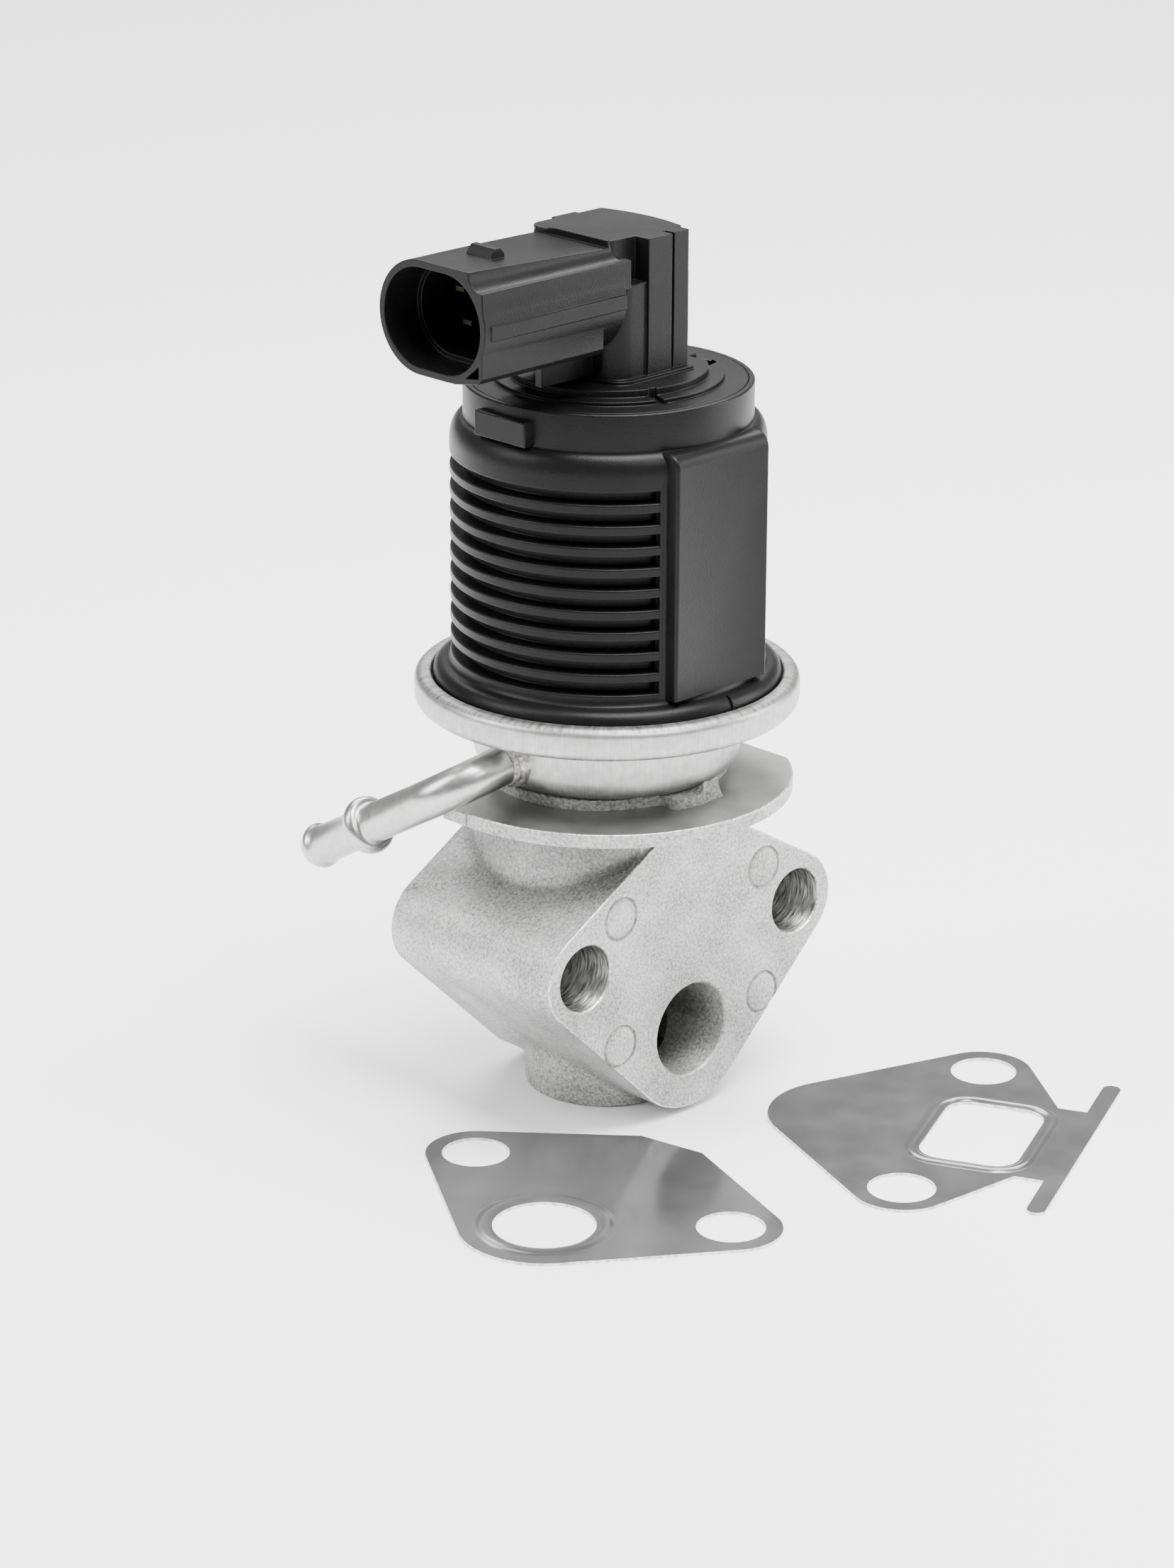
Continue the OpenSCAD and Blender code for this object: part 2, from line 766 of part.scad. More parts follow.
// One blade from the coil: up through the roof, across and up into the tower
module lead_blade() {
    t = lead_t;
    pin_under = socket_z + pin_rows[3][1] - pin_t / 2;
    translate([0, lead_w / 2, 0]) rotate([90, 0, 0]) linear_extrude(lead_w) polygon([
        [-lead_x - t / 2, top_plate_z],
        [-lead_x + t / 2, top_plate_z],
        [-lead_x + t / 2, lead_run_z],
        [-lead_in_x + t / 2, lead_run_z],
        [-lead_in_x + t / 2, pin_under],
        [-lead_in_x - t / 2, pin_under],
        [-lead_in_x - t / 2, lead_run_z + t],
        [-lead_x - t / 2, lead_run_z + t]
    ]);
}

module coil_leads() {
    color("#c08a3e") for (side = [-1, 1]) translate([0, side * lead_y, 0]) lead_blade();
}

function groove_points(z) = [
    [body_r, z],
    [body_r - groove_depth, z],
    [body_r - groove_depth, z + rib_pitch - rib_face],
    [body_r, z + rib_pitch - rib_face]
];

// Half section of the moulding's outside: foot flange, ribs, shoulder and collar
module body_section() {
    foot = [
        [0, plate_top],
        [clamp_r, plate_top],
        [clamp_r, lip_z - 0.05],
        [flange_r, lip_z - 0.05],
        [flange_r, rib_z - 1.55],
        [flange_r - 0.15, rib_z - 1.05],
        [flange_r - 0.5, rib_z - 0.65],
        [flange_r - 1, rib_z - 0.4],
        [flange_r - 1.6, rib_z - 0.35],
        [body_r + 0.2, rib_z - 0.25],
        [body_r, rib_z]
    ];
    ribs = [for (i = [0:rib_count - 1]) each groove_points(rib_z + rib_face + i * rib_pitch)];
    top = [
        [body_r, body_top - shoulder_h],
        [body_r - 0.15, body_top - 0.62 * shoulder_h],
        [body_r - 0.5, body_top - 0.32 * shoulder_h],
        [body_r - 1.05, body_top - 0.1 * shoulder_h],
        [collar_r, body_top],
        [collar_r, collar_top - 0.3],
        [collar_r - 0.3, collar_top],
        [0, collar_top]
    ];
    polygon(concat(foot, ribs, top));
}

// Stretch at the front where the ribs run out into a smooth wall
module smooth_strip() {
    low = rib_z + rib_face / 2;
    high = groove_top + band_h / 2;
    intersection() {
        translate([0, 0, low]) rotate([0, 0, 90]) cylinder(r = body_r + 0.03, h = high - low);
        translate([-smooth_half, -2 * body_r, low - over])
            cube([2 * smooth_half, 2 * body_r - coil_room_r / 2, high - low + 2 * over]);
    }
}

// Flat pad down the front: bevelled at its sides, rounded over at the shoulder
module pad() {
    low = rib_z - 0.5;
    edge = pad_half + pad_bevel;
    inside = -coil_room_r - 1;
    intersection() {
        translate([0, 0, low]) linear_extrude(body_top - low) polygon([
            [-edge, inside], [-edge, -pad_out + pad_bevel], [-pad_half, -pad_out],
            [pad_half, -pad_out], [edge, -pad_out + pad_bevel], [edge, inside]
        ]);
        translate([-edge - over, 0, 0]) rotate([90, 0, 90]) linear_extrude(2 * (edge + over)) polygon([
            [inside, low],
            [-pad_out, low],
            [-pad_out, body_top - 0.65 * shoulder_h],
            [-pad_out + 0.2, body_top - 0.42 * shoulder_h],
            [-pad_out + 0.7, body_top - 0.2 * shoulder_h],
            [-collar_r + 0.6, body_top],
            [inside, body_top]
        ]);
    }
}

module collar_tab() {
    translate([-tab_out, -0.35 - tab_w / 2, body_top + 0.1])
        cube([tab_out - collar_r + 3, tab_w, tab_h]);
}

module solenoid_body() {
    color("#3a3b3d") difference() {
        union() {
            rotate_extrude() body_section();
            smooth_strip();
            pad();
            difference() {
                collar_tab();
                translate([0, 0, body_top - over]) cylinder(r = collar_r - 0.5, h = collar_h);
            }
        }
        translate([0, 0, plate_top - over]) cylinder(r = coil_room_r, h = roof_z - plate_top + over);
        ring(foot_ring_r + foot_oring_r + seal_room, foot_ring_r - foot_oring_r - seal_room,
            plate_top - over, 2 * foot_oring_r + seal_room + over);
        translate([0, 0, roof_z - over]) cylinder(r = 5, h = roof_t + 2 * over);
        lead_slots(roof_z - over, roof_t + 2 * over);
        translate([0, 0, body_top]) cylinder(r = chamber_in_r, h = collar_h + over);
        translate([0, 0, ledge_z]) cylinder(r = cover_r + 0.05, h = cover_t + over);
        ring(cover_ring_r + oring_r + seal_room, cover_ring_r - oring_r - seal_room,
            ledge_z - 2 * oring_r - seal_room, 2 * oring_r + over);
    }
}

module body_seal() {
    color("#1d1d1d") o_ring(foot_ring_r, foot_oring_r, plate_top + foot_oring_r);
}

module cover_seal() {
    color("#1d1d1d") o_ring(cover_ring_r, oring_r, ledge_z - oring_r);
}

// Plan of the tower: round corner towards the socket, flat panels and the upright slot
module tower_plan(corner_x, corner_y, corner_r) {
    difference() {
        intersection() {
            union() {
                round_box([corner_x, -corner_y], [tower_back + 2, side_back], corner_r);
                translate([panel_x, -side_front]) square([tower_back, side_front]);
                translate([panel_x, -tower_half]) square([panel_w, tower_half]);
                translate([panel_x - 0.5, 0]) square([panel_w, tower_half]);
            }
            translate([tower_back - tower_arc_r, 0]) circle(r = tower_arc_r);
        }
        translate([panel_x + panel_w, -tower_half - over]) square([slot_w, slot_depth + over]);
    }
}

// Small flare where the tower grows out of the cover
module tower_foot() {
    translate([0, 0, collar_top]) linear_extrude(step_high_h + foot_flare) intersection() {
        round_box([-tower_front - foot_flare, -tower_half - foot_flare],
            [tower_back + 2, side_back + foot_flare], low_corner_r);
        translate([tower_back - tower_arc_r, 0]) circle(r = tower_arc_r + foot_flare);
    }
}

// Everything within the socket's outer skin, looking along the socket
module socket_skin() {
    for (side = [-1, 1]) translate([side * sock_shift, 0]) circle(r = out_half_h);
    translate([-sock_shift, -out_half_h]) square([2 * sock_shift, 2 * out_half_h]);
    difference() {
        translate([-side_y, 0]) square([side_y - sock_shift, out_half_h]);
        translate([-side_y, out_half_h + 0.1]) circle(r = cove_r);
    }
}

module socket_bore(shrink) {
    r = sock_half_h - shrink;
    for (side = [-1, 1]) translate([side * sock_shift, 0]) circle(r = r);
    translate([-sock_shift, -r]) square([2 * sock_shift, 2 * r]);
}

// Gives an outline seen along the socket its length, between two distances from the axis
module along_socket(from_x, to_x) {
    translate([-from_x, 0, socket_z]) rotate([90, 0, 90]) linear_extrude(from_x - to_x) children();
}

module socket_side() {
    along_socket(socket_reach, side_end) polygon([
        [-side_y + 0.1, 0], [-side_y + 0.1, side_low + 0.8], [-side_y + 0.9, side_low],
        [-sock_shift - 2, -out_half_h + 0.06], [-sock_shift, -out_half_h], [-sock_shift, 0]
    ]);
    along_socket(socket_reach, panel_end)
        translate([-side_y, panel_low]) square([2.5, panel_top - panel_low]);
    along_socket(socket_reach - 1, rib_end)
        translate([-side_y - rib_out, rib_low]) square([3, rib_high - rib_low]);
}

// Hollow between the round socket and the square lower corner of its mouth
module corner_pocket() {
    along_socket(socket_reach + over, socket_reach - 3) polygon([
        [-side_y + 0.75, side_low + 0.75], [-side_y + 0.75, side_low + 2.4], [-side_y + 2.9, side_low + 0.45]
    ]);
}

// Low bump that the plug's latch snaps over
module latch_bump() {
    top = socket_z + out_half_h;
    translate([bump_x, bump_y, top - 0.7]) rotate([90, 0, 0]) linear_extrude(bump_w)
        polygon([[0, 0], [0.3, 0.9], [1, 1.7], [1.9, 1.7], [2.6, 0.9], [2.6, 0]]);
}

// Wedge that gives the socket's top its slight fall towards the tower
module top_wedge() {
    high = socket_z + out_half_h;
    translate([0, socket_w, 0]) rotate([90, 0, 0]) linear_extrude(2 * socket_w) polygon([
        [-socket_reach - over, high + 0.02], [-tower_front, high - top_fall],
        [-tower_front, high + 3], [-socket_reach - over, high + 3]
    ]);
}

module socket_shell() {
    difference() {
        union() {
            along_socket(socket_reach, tower_front - 0.5) socket_skin();
            socket_side();
        }
        along_socket(socket_reach + over, socket_reach - mouth_depth) socket_bore(0);
        along_socket(socket_reach, socket_floor) socket_bore(mouth_step);
        corner_pocket();
        top_wedge();
    }
    latch_bump();
}

module pin_blades(grow = 0) {
    for (p = pin_rows)
        translate([-socket_floor - pin_len, p[0] - pin_w / 2 - grow, socket_z + p[1] - pin_t / 2 - grow])
            cube([socket_floor + pin_len - pin_in_x, pin_w + 2 * grow, pin_t + 2 * grow]);
}

// Upright webs under the socket
module gussets() {
    low = collar_top + step_high_h + 0.6;
    for (y = gusset_rows)
        translate([-gusset_out, y, low]) cube([gusset_out - tower_front + 0.5, gusset_t, gusset_h]);
}

module cover_plate() {
    translate([0, 0, ledge_z]) cylinder(r = cover_r, h = cover_t);
    translate([0, 0, collar_top - e]) cylinder(r = step_low_r, h = step_low_h + e);
    translate([0, 0, collar_top - e]) cylinder(r = step_high_r, h = step_high_h + e);
}

module sensor_cover() {
    color("#3a3b3d") difference() {
        union() {
            cover_plate();
            translate([0, 0, collar_top]) linear_extrude(tower_h)
                tower_plan(-tower_front, side_front - tower_step, high_corner_r);
            translate([0, 0, collar_top]) linear_extrude(column_top - collar_top)
                tower_plan(-tower_front, side_front, low_corner_r);
            tower_foot();
            socket_shell();
            gussets();
        }
        translate([cavity_left, cavity_front, collar_top])
            cube([cavity_right - cavity_left, cavity_back - cavity_front, cavity_top - collar_top]);
        translate([0, 0, ledge_z - over]) cylinder(r = rod_r + rod_gap, h = cover_t + 2 * over);
        for (side = [-1, 1])
            translate([-lead_in_x - lead_t / 2 - lead_gap, side * lead_y - lead_w / 2 - lead_gap, ledge_z - over])
                cube([lead_t + 2 * lead_gap, lead_w + 2 * lead_gap, cover_t + 2 * over]);
        pin_blades();
        rotate([0, 0, notch_turn]) translate([step_high_r - 0.5, -notch_w / 2, collar_top])
            cube([step_low_r - step_high_r + 1, notch_w, step_high_h + over]);
        translate([pocket_at[0], pocket_at[1], collar_top])
            cube([pocket_size[0], pocket_size[1], step_high_h + over]);
    }
}

module sensor_plunger() {
    color("#d9d6cc") {
        translate([0, 0, stem_top]) cylinder(r = rod_r, h = slider_z - stem_top + slider_h);
        translate([-slider_half, slider_front, slider_z])
            cube([2 * slider_half, slider_back - slider_front, slider_h]);
        translate([0, 0, slider_z + slider_h - e]) cylinder(r = nose_r, h = spring_nose);
    }
}

// Bent contact strip from the slider to the track
module sensor_wiper() {
    face = cavity_back - track_t;
    z = slider_z + 1;
    out = slider_back + wiper_t;
    color("#c9a24a") translate([-wiper_half, 0, 0]) rotate([90, 0, 90]) linear_extrude(2 * wiper_half)
        polygon([
            [slider_back, z], [slider_back, z + 2], [out, z + 2], [face - 0.1, z + 3.4],
            [face, z + 3.2], [face - 0.1, z + 3], [out, z + 1.6], [out, z]
        ]);
}

module sensor_track() {
    face = cavity_back - track_t;
    color("#e3e0d6") translate([cavity_left + 0.3, face, collar_top])
        cube([cavity_right - cavity_left - 0.6, track_t, cavity_top - collar_top - 3]);
}

module sensor_spring() {
    color("#b0b1b3") coil_spring(1.5, 0.2, slider_z + slider_h, cavity_top, 7);
}

module terminal_pins() {
    color("#c9b27a") pin_blades();
}

module seal_sheet() {
    linear_extrude(seal_t) children();
}

// Front gasket: round port with a raised bead
module gasket_front() {
    port = [0, port_z - bolt_z];
    color("#8f9091") translate(seal_front_at) rotate([0, 0, seal_front_turn]) {
        difference() {
            seal_sheet() kite_outline();
            translate([0, 0, -over]) linear_extrude(seal_t + 2 * over) bolt_hole_outline();
            translate([port[0], port[1], -over]) cylinder(r = seal_port_r, h = seal_t + 2 * over);
        }
        translate([port[0], port[1], 0]) ring(seal_port_r + 1.9, seal_port_r + 0.7, seal_t - e, seal_bead);
    }
}

// Rear gasket: rounded square port and a bar across its neck
module gasket_rear() {
    bar_y = apex_h + 0.05;
    color("#8f9091") translate(seal_rear_at) rotate([0, 0, seal_rear_turn]) {
        difference() {
            seal_sheet() union() {
                kite_outline();
                translate([-bar_neck, 0]) square([2 * bar_neck, bar_y + e]);
                round_box([-bar_half, bar_y], [bar_half, bar_y + bar_w], bar_w / 2 - e);
            }
            translate([0, 0, -over]) linear_extrude(seal_t + 2 * over) {
                bolt_hole_outline();
                back_port_outline(0.3);
            }
        }
        translate([0, 0, seal_t - e]) linear_extrude(seal_bead) difference() {
            back_port_outline(2);
            back_port_outline(0.9);
        }
    }
}

cast_housing();
bottom_plug();
valve_seat();
valve_stem();
stem_guide();
stem_seal();
fibre_gasket();
steel_cup();
vent_tube();
tube_braze();
flux_plate();
pole_core();
armature_tube();
armature();
armature_clip();
return_spring();
bobbin();
winding();
yoke_sleeve();
top_plate();
coil_leads();
solenoid_body();
body_seal();
cover_seal();
sensor_cover();
sensor_plunger();
sensor_wiper();
sensor_track();
sensor_spring();
terminal_pins();
gasket_front();
gasket_rear();
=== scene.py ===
import math

import bmesh
import bpy
from mathutils import Matrix, Vector, noise


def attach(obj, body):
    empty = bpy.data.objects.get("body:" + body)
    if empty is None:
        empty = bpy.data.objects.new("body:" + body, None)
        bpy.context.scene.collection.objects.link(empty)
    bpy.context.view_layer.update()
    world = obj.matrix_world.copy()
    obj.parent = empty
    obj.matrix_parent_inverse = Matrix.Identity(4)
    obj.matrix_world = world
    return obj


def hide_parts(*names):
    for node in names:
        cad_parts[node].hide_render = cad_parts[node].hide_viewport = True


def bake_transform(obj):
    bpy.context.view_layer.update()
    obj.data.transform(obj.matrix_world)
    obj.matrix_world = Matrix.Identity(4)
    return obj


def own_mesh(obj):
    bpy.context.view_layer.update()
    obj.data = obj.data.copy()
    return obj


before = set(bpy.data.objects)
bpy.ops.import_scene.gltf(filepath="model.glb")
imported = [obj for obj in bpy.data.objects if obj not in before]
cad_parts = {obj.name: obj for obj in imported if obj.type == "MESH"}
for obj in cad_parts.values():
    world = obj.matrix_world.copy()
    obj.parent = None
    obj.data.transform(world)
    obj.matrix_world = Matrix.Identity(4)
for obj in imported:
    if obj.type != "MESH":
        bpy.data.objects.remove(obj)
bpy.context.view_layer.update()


# Studio: a seamless white table under one big soft light, with weaker ones round it, and the camera
# above and to the left of the valve, as in the catalogue picture. Its long lens keeps upright edges
# almost parallel.
def hex_linear(code):
    channels = [int(code[i:i + 2], 16) / 255 for i in (1, 3, 5)]
    linear = [c / 12.92 if c <= 0.04045 else ((c + 0.055) / 1.055) ** 2.4 for c in channels]
    return (*linear, 1.0)


def add_node(tree, kind, inputs=None, **settings):
    made = tree.nodes.new(kind)
    for name, value in settings.items():
        setattr(made, name, value)
    for name, value in (inputs or {}).items():
        if isinstance(value, bpy.types.NodeSocket):
            tree.links.new(value, made.inputs[name])
        else:
            made.inputs[name].default_value = value
    return made


def new_material(name):
    made = bpy.data.materials.new(name)
    made.use_nodes = True
    made.node_tree.nodes.clear()
    tree = made.node_tree
    shader = add_node(tree, "ShaderNodeBsdfPrincipled")
    output = add_node(tree, "ShaderNodeOutputMaterial")
    tree.links.new(shader.outputs[0], output.inputs[0])
    place = add_node(tree, "ShaderNodeTexCoord").outputs["Object"]
    return made, tree, shader, place


QUARTER_TURN = math.pi / 2
camera_turn = math.radians(-44.519)
camera_pitch = math.radians(20.299)
camera_roll = math.radians(0.203)
camera_data = bpy.data.cameras.new("camera")
camera_data.lens = 106.52
camera_data.sensor_width = 36.0
camera_data.clip_start = 0.01
camera = bpy.data.objects.new("camera", camera_data)
bpy.context.scene.collection.objects.link(camera)
camera.matrix_world = (
    Matrix.Translation((-0.41205, -0.41527, 0.25904))
    @ Matrix.Rotation(camera_turn, 4, "Z")
    @ Matrix.Rotation(QUARTER_TURN - camera_pitch, 4, "X")
    @ Matrix.Rotation(camera_roll, 4, "Z")
)
bpy.context.scene.camera = camera

world = bpy.data.worlds.new("white_room")
world.use_nodes = True
world.node_tree.nodes["Background"].inputs[0].default_value = hex_linear("#ffffff")
world.node_tree.nodes["Background"].inputs[1].default_value = 0.5
bpy.context.scene.world = world


def soft_light(name, place, aim, size, power):
    data = bpy.data.lights.new(name, "AREA")
    data.shape = "RECTANGLE"
    data.size, data.size_y = size
    data.energy = power
    made = bpy.data.objects.new(name, data)
    bpy.context.scene.collection.objects.link(made)
    away = (Vector(place) - Vector(aim)).normalized()
    made.matrix_world = Matrix.Translation(place) @ away.to_track_quat("Z", "Y").to_matrix().to_4x4()


soft_light("top_light", (0.02, -0.18, 0.8), (0, 0, 0.05), (0.55, 0.5), 20.0)
soft_light("right_light", (0.6, -0.4, 0.3), (0, 0, 0.06), (0.25, 0.5), 4.5)
soft_light("left_light", (-0.5, 0.3, 0.5), (0, 0, 0.06), (0.3, 0.5), 4.5)
soft_light("front_light", (-0.07, -0.75, 0.7), (0, 0, 0.05), (0.3, 0.2), 3.0)
soft_light("back_light", (1.0, 1.0, 1.5), (0.9, 0.9, 0), (1.6, 1.2), 60.0)

table_bm = bmesh.new()
bmesh.ops.create_grid(table_bm, x_segments=1, y_segments=1, size=3.0)
table_mesh = bpy.data.meshes.new("table")
table_bm.to_mesh(table_mesh)
table_bm.free()
table = bpy.data.objects.new("table", table_mesh)
bpy.context.scene.collection.objects.link(table)
white_paper, tree, shader, place = new_material("white_paper")
shader.inputs["Base Color"].default_value = hex_linear("#fbfbfb")
shader.inputs["Roughness"].default_value = 0.9
table_mesh.materials.append(white_paper)


# Casting: the aluminium housing, sand cast in one piece: a kite-shaped bolt block, a neck, a disc
# and a foot boss. Its corners are soft from the mould, the bolt holes are reamed, the disc turned.

# A corner with a third number is rounded to that radius; hold adds a point close beside the curve,
# which keeps the shading of the flat next to it flat
def rounded(corners, steps=4, closed=False, hold=0.0):
    path = []
    last = len(corners) - 1
    for i, corner in enumerate(corners):
        here = Vector(corner[:2])
        if len(corner) < 3 or (not closed and i in (0, last)):
            path.append(tuple(here))
            continue
        back = (Vector(corners[i - 1][:2]) - here).normalized()
        ahead = (Vector(corners[(i + 1) % len(corners)][:2]) - here).normalized()
        half = back.angle(ahead) / 2
        middle = here + (back + ahead).normalized() * corner[2] / math.sin(half)
        start = here + back * corner[2] / math.tan(half) - middle
        end = here + ahead * corner[2] / math.tan(half) - middle
        swing = start.angle_signed(end)
        if hold:
            path.append(tuple(middle + start + back * hold))
        for k in range(steps + 1):
            path.append(tuple(middle + Matrix.Rotation(-swing * k / steps, 2) @ start))
        if hold:
            path.append(tuple(middle + end + ahead * hold))
    return path


def turned(path, steps=160, closed=False, angle=2 * math.pi, start=0.0):
    made = bmesh.new()
    verts = [made.verts.new((r, 0, z)) for r, z in path]
    ends = verts[1:] + (verts[:1] if closed else [])
    edges = [made.edges.new(pair) for pair in zip(verts, ends)]
    full = angle > 6.28
    bmesh.ops.rotate(made, cent=(0, 0, 0), matrix=Matrix.Rotation(start, 3, "Z"), verts=verts)
    bmesh.ops.spin(made, geom=verts + edges, cent=(0, 0, 0), axis=(0, 0, 1), angle=angle,
                   steps=steps, use_merge=full)
    bmesh.ops.remove_doubles(made, verts=made.verts, dist=0.0005)
    if not full:
        bmesh.ops.holes_fill(made, edges=[e for e in made.edges if e.is_boundary])
    bmesh.ops.recalc_face_normals(made, faces=made.faces)
    return made


def drum(radius, low, high, steps=96):
    return turned([(0, low), (radius, low), (radius, high), (0, high)], steps)


def prism(outline, low, high):
    made = bmesh.new()
    face = made.faces.new([made.verts.new((x, y, low)) for x, y in outline])
    grown = bmesh.ops.extrude_face_region(made, geom=[face])
    bmesh.ops.translate(made, vec=(0, 0, high - low),
                        verts=[v for v in grown["geom"] if isinstance(v, bmesh.types.BMVert)])
    bmesh.ops.recalc_face_normals(made, faces=made.faces)
    return made


def trimmed(made, point, away):
    cut = bmesh.ops.bisect_plane(made, geom=made.verts[:] + made.edges[:] + made.faces[:],
                                 plane_co=point, plane_no=away, clear_outer=True)
    rim = [e for e in cut["geom_cut"] if isinstance(e, bmesh.types.BMEdge)]
    bmesh.ops.edgeloop_fill(made, edges=rim)
    bmesh.ops.recalc_face_normals(made, faces=made.faces)
    return made


# Bevels edges, and insets the faces beside them a little, which keeps the flats' shading flat
def softened(made, edges, offset, segments=3, hold=0.04):
    cut = bmesh.ops.bevel(made, geom=edges, offset=offset, segments=segments, profile=0.5, affect="EDGES",
                          material=-1)
    bevelled = set(cut["faces"])
    bmesh.ops.inset_region(made, faces=[f for f in made.faces if f not in bevelled], thickness=hold)
    return made


def sharp_edges(made, angle=30):
    return [e for e in made.edges if e.is_manifold and e.calc_face_angle(0) > math.radians(angle)]


def placed(made, matrix):
    bmesh.ops.transform(made, matrix=matrix, verts=made.verts)
    return made


def together(*parts):
    whole = bmesh.new()
    for part in parts:
        mesh = bpy.data.meshes.new("part")
        part.to_mesh(mesh)
        part.free()
        whole.from_mesh(mesh)
        bpy.data.meshes.remove(mesh)
    return whole


def laid_out(name, made):
    mesh = bpy.data.meshes.new(name)
    made.to_mesh(mesh)
    made.free()
    held = bpy.data.objects.new(name, mesh)
    bpy.context.scene.collection.objects.link(held)
    return held


def worked(made, kind, **settings):
    blank = laid_out("blank", made)
    tool = blank.modifiers.new("tool", kind)
    for name, value in settings.items():
        setattr(tool, name, value)
    result = bmesh.new()
    result.from_object(blank, bpy.context.evaluated_depsgraph_get())
    mesh = blank.data
    bpy.data.objects.remove(blank)
    bpy.data.meshes.remove(mesh)
    return result


def fitted(made, other, how="DIFFERENCE"):
    tool = laid_out("tool", other)
    result = worked(made, "BOOLEAN", object=tool, operation=how, solver="MANIFOLD")
    mesh = tool.data
    bpy.data.objects.remove(tool)
    bpy.data.meshes.remove(mesh)
    return result


def finished(name, made, materials, stands_for, body="housing", crease=38):
    bmesh.ops.remove_doubles(made, verts=made.verts, dist=0.002)
    bmesh.ops.recalc_face_normals(made, faces=made.faces)
    bmesh.ops.scale(made, vec=(0.001, 0.001, 0.001), verts=made.verts)
    piece = laid_out(name, made)
    for material in materials:
        piece.data.materials.append(material)
    piece.data.shade_smooth()
    piece.data.set_sharp_from_angle(angle=math.radians(crease))
    if body:
        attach(piece, body)
    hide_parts(*stands_for)
    return piece


# Sizes are in millimetres until a piece is finished. The block's ears hold the bolts, and its chin
# holds the port. The marks are rings that the mould's ejectors leave on the front flange face.
UPRIGHT = Matrix.Rotation(-QUARTER_TURN, 4, "X")
FRONT_Y, BACK_Y = -16.5, 14.0
BOLTS_X, BOLT_Z, BOLT_R = (-20, 20), 25.0, 4.5
PORT_Z, PORT_R = 12, 6.4
EAR_R, CHIN_R = 6.7, 11.2
NECK_R, BOSS_R = 17.9, 11
DISC_R, DISC_FOOT, DISC_TOP = 25, 42.96, 44.81
MARKS = [(x, z) for x in (-13.54, 13.54) for z in (31.66, 13.45)]
MARK_IN, MARK_OUT = 2.55, 3.05


def along_y(made, x, z):
    return placed(made, Matrix.Translation((x, 0, z)) @ UPRIGHT)


def kite_block(face_y, far_y):
    made = bmesh.new()
    ears = [(x, BOLT_Z, EAR_R) for x in BOLTS_X]
    for x, z, radius in ears + [(0, PORT_Z, CHIN_R), (-4.5, 41.2, 0.6), (4.5, 41.2, 0.6)]:
        for y in (face_y, far_y):
            bmesh.ops.create_circle(made, cap_ends=False, segments=72, radius=radius,
                                    matrix=Matrix.Translation((x, y, z)) @ UPRIGHT)
    spare = bmesh.ops.convex_hull(made, input=made.verts)
    bmesh.ops.delete(made, geom=list(set(spare["geom_interior"] + spare["geom_unused"])), context="VERTS")
    bmesh.ops.dissolve_limit(made, angle_limit=math.radians(0.5), verts=made.verts, edges=made.edges)
    return made


def flange(face_y, far_y):
    made = kite_block(face_y, far_y)
    arris = [e for e in made.edges if max(abs(v.co.y - face_y) for v in e.verts) < 0.01]
    return softened(made, arris, 0.22)


# The soft corners and the fillets at the neck and the boss come from smoothing a fine remesh. The
# exact faces, the disc, its lug and the spigot are joined to it, and the holes are cut last.
neck = trimmed(trimmed(drum(NECK_R, 22, 43.5), (0, -16, 0), (0, -1, 0)), (0, BACK_Y, 0), (0, 1, 0))
casting = worked(together(kite_block(FRONT_Y, BACK_Y), neck, drum(BOSS_R, 0, 14)),
                 "REMESH", mode="VOXEL", voxel_size=0.36, adaptivity=0.0)


def near_joint(v):
    reach = math.hypot(v.co.x, v.co.y)
    neck_foot = abs(reach - NECK_R) < 2.4 and 20 < v.co.z < 41.5 and -15 < v.co.y < 12.6
    boss_top = abs(reach - BOSS_R) < 1.8 and 0.8 < v.co.z < 14
    return neck_foot or boss_top


def eased(made, verts, rounds):
    for _ in range(rounds):
        bmesh.ops.smooth_vert(made, verts=verts, factor=0.5, use_axis_x=True, use_axis_y=True,
                              use_axis_z=True)


eased(casting, casting.verts, 4)
eased(casting, [v for v in casting.verts if near_joint(v)], 18)
casting = trimmed(trimmed(casting, (0, FRONT_Y + 0.4, 0), (0, -1, 0)), (0, BACK_Y - 0.4, 0), (0, 1, 0))
disc_angles = [2 * math.pi * k / 200 for k in range(200)]
disc = prism([(DISC_R * math.cos(a), DISC_R * math.sin(a)) for a in disc_angles], DISC_FOOT, DISC_TOP)
disc = trimmed(trimmed(disc, (20.9, 0, 0), (1, 0, 0)), (0, BACK_Y, 0), (0, 1, 0))
disc = softened(disc, [e for e in sharp_edges(disc) if max(v.co.z for v in e.verts) > 44], 0.2)
lug = prism([(-25.3, 0.8), (-22, 0.8), (-22, 5), (-25.3, 5)], 42.98, 44.79)
lug = softened(lug, sharp_edges(lug), 0.15)
spigot = turned([(0, 30), (8, 30), (8, 47.41), (9.4, 47.41), (9.4, 48.31), (0, 48.31)], 120)
for part in (flange(FRONT_Y, FRONT_Y + 1), flange(BACK_Y, BACK_Y - 1), disc, lug, spigot):
    casting = fitted(casting, part, "UNION")


def hole_cutter(radius, near_y, far_y, x, z, flare=0.22):
    path = [(0, near_y - 2), (radius + flare, near_y - 2), (radius + flare, near_y), (radius, near_y + flare),
            (radius, far_y), (0, far_y)]
    return along_y(turned(path, 72), x, z)


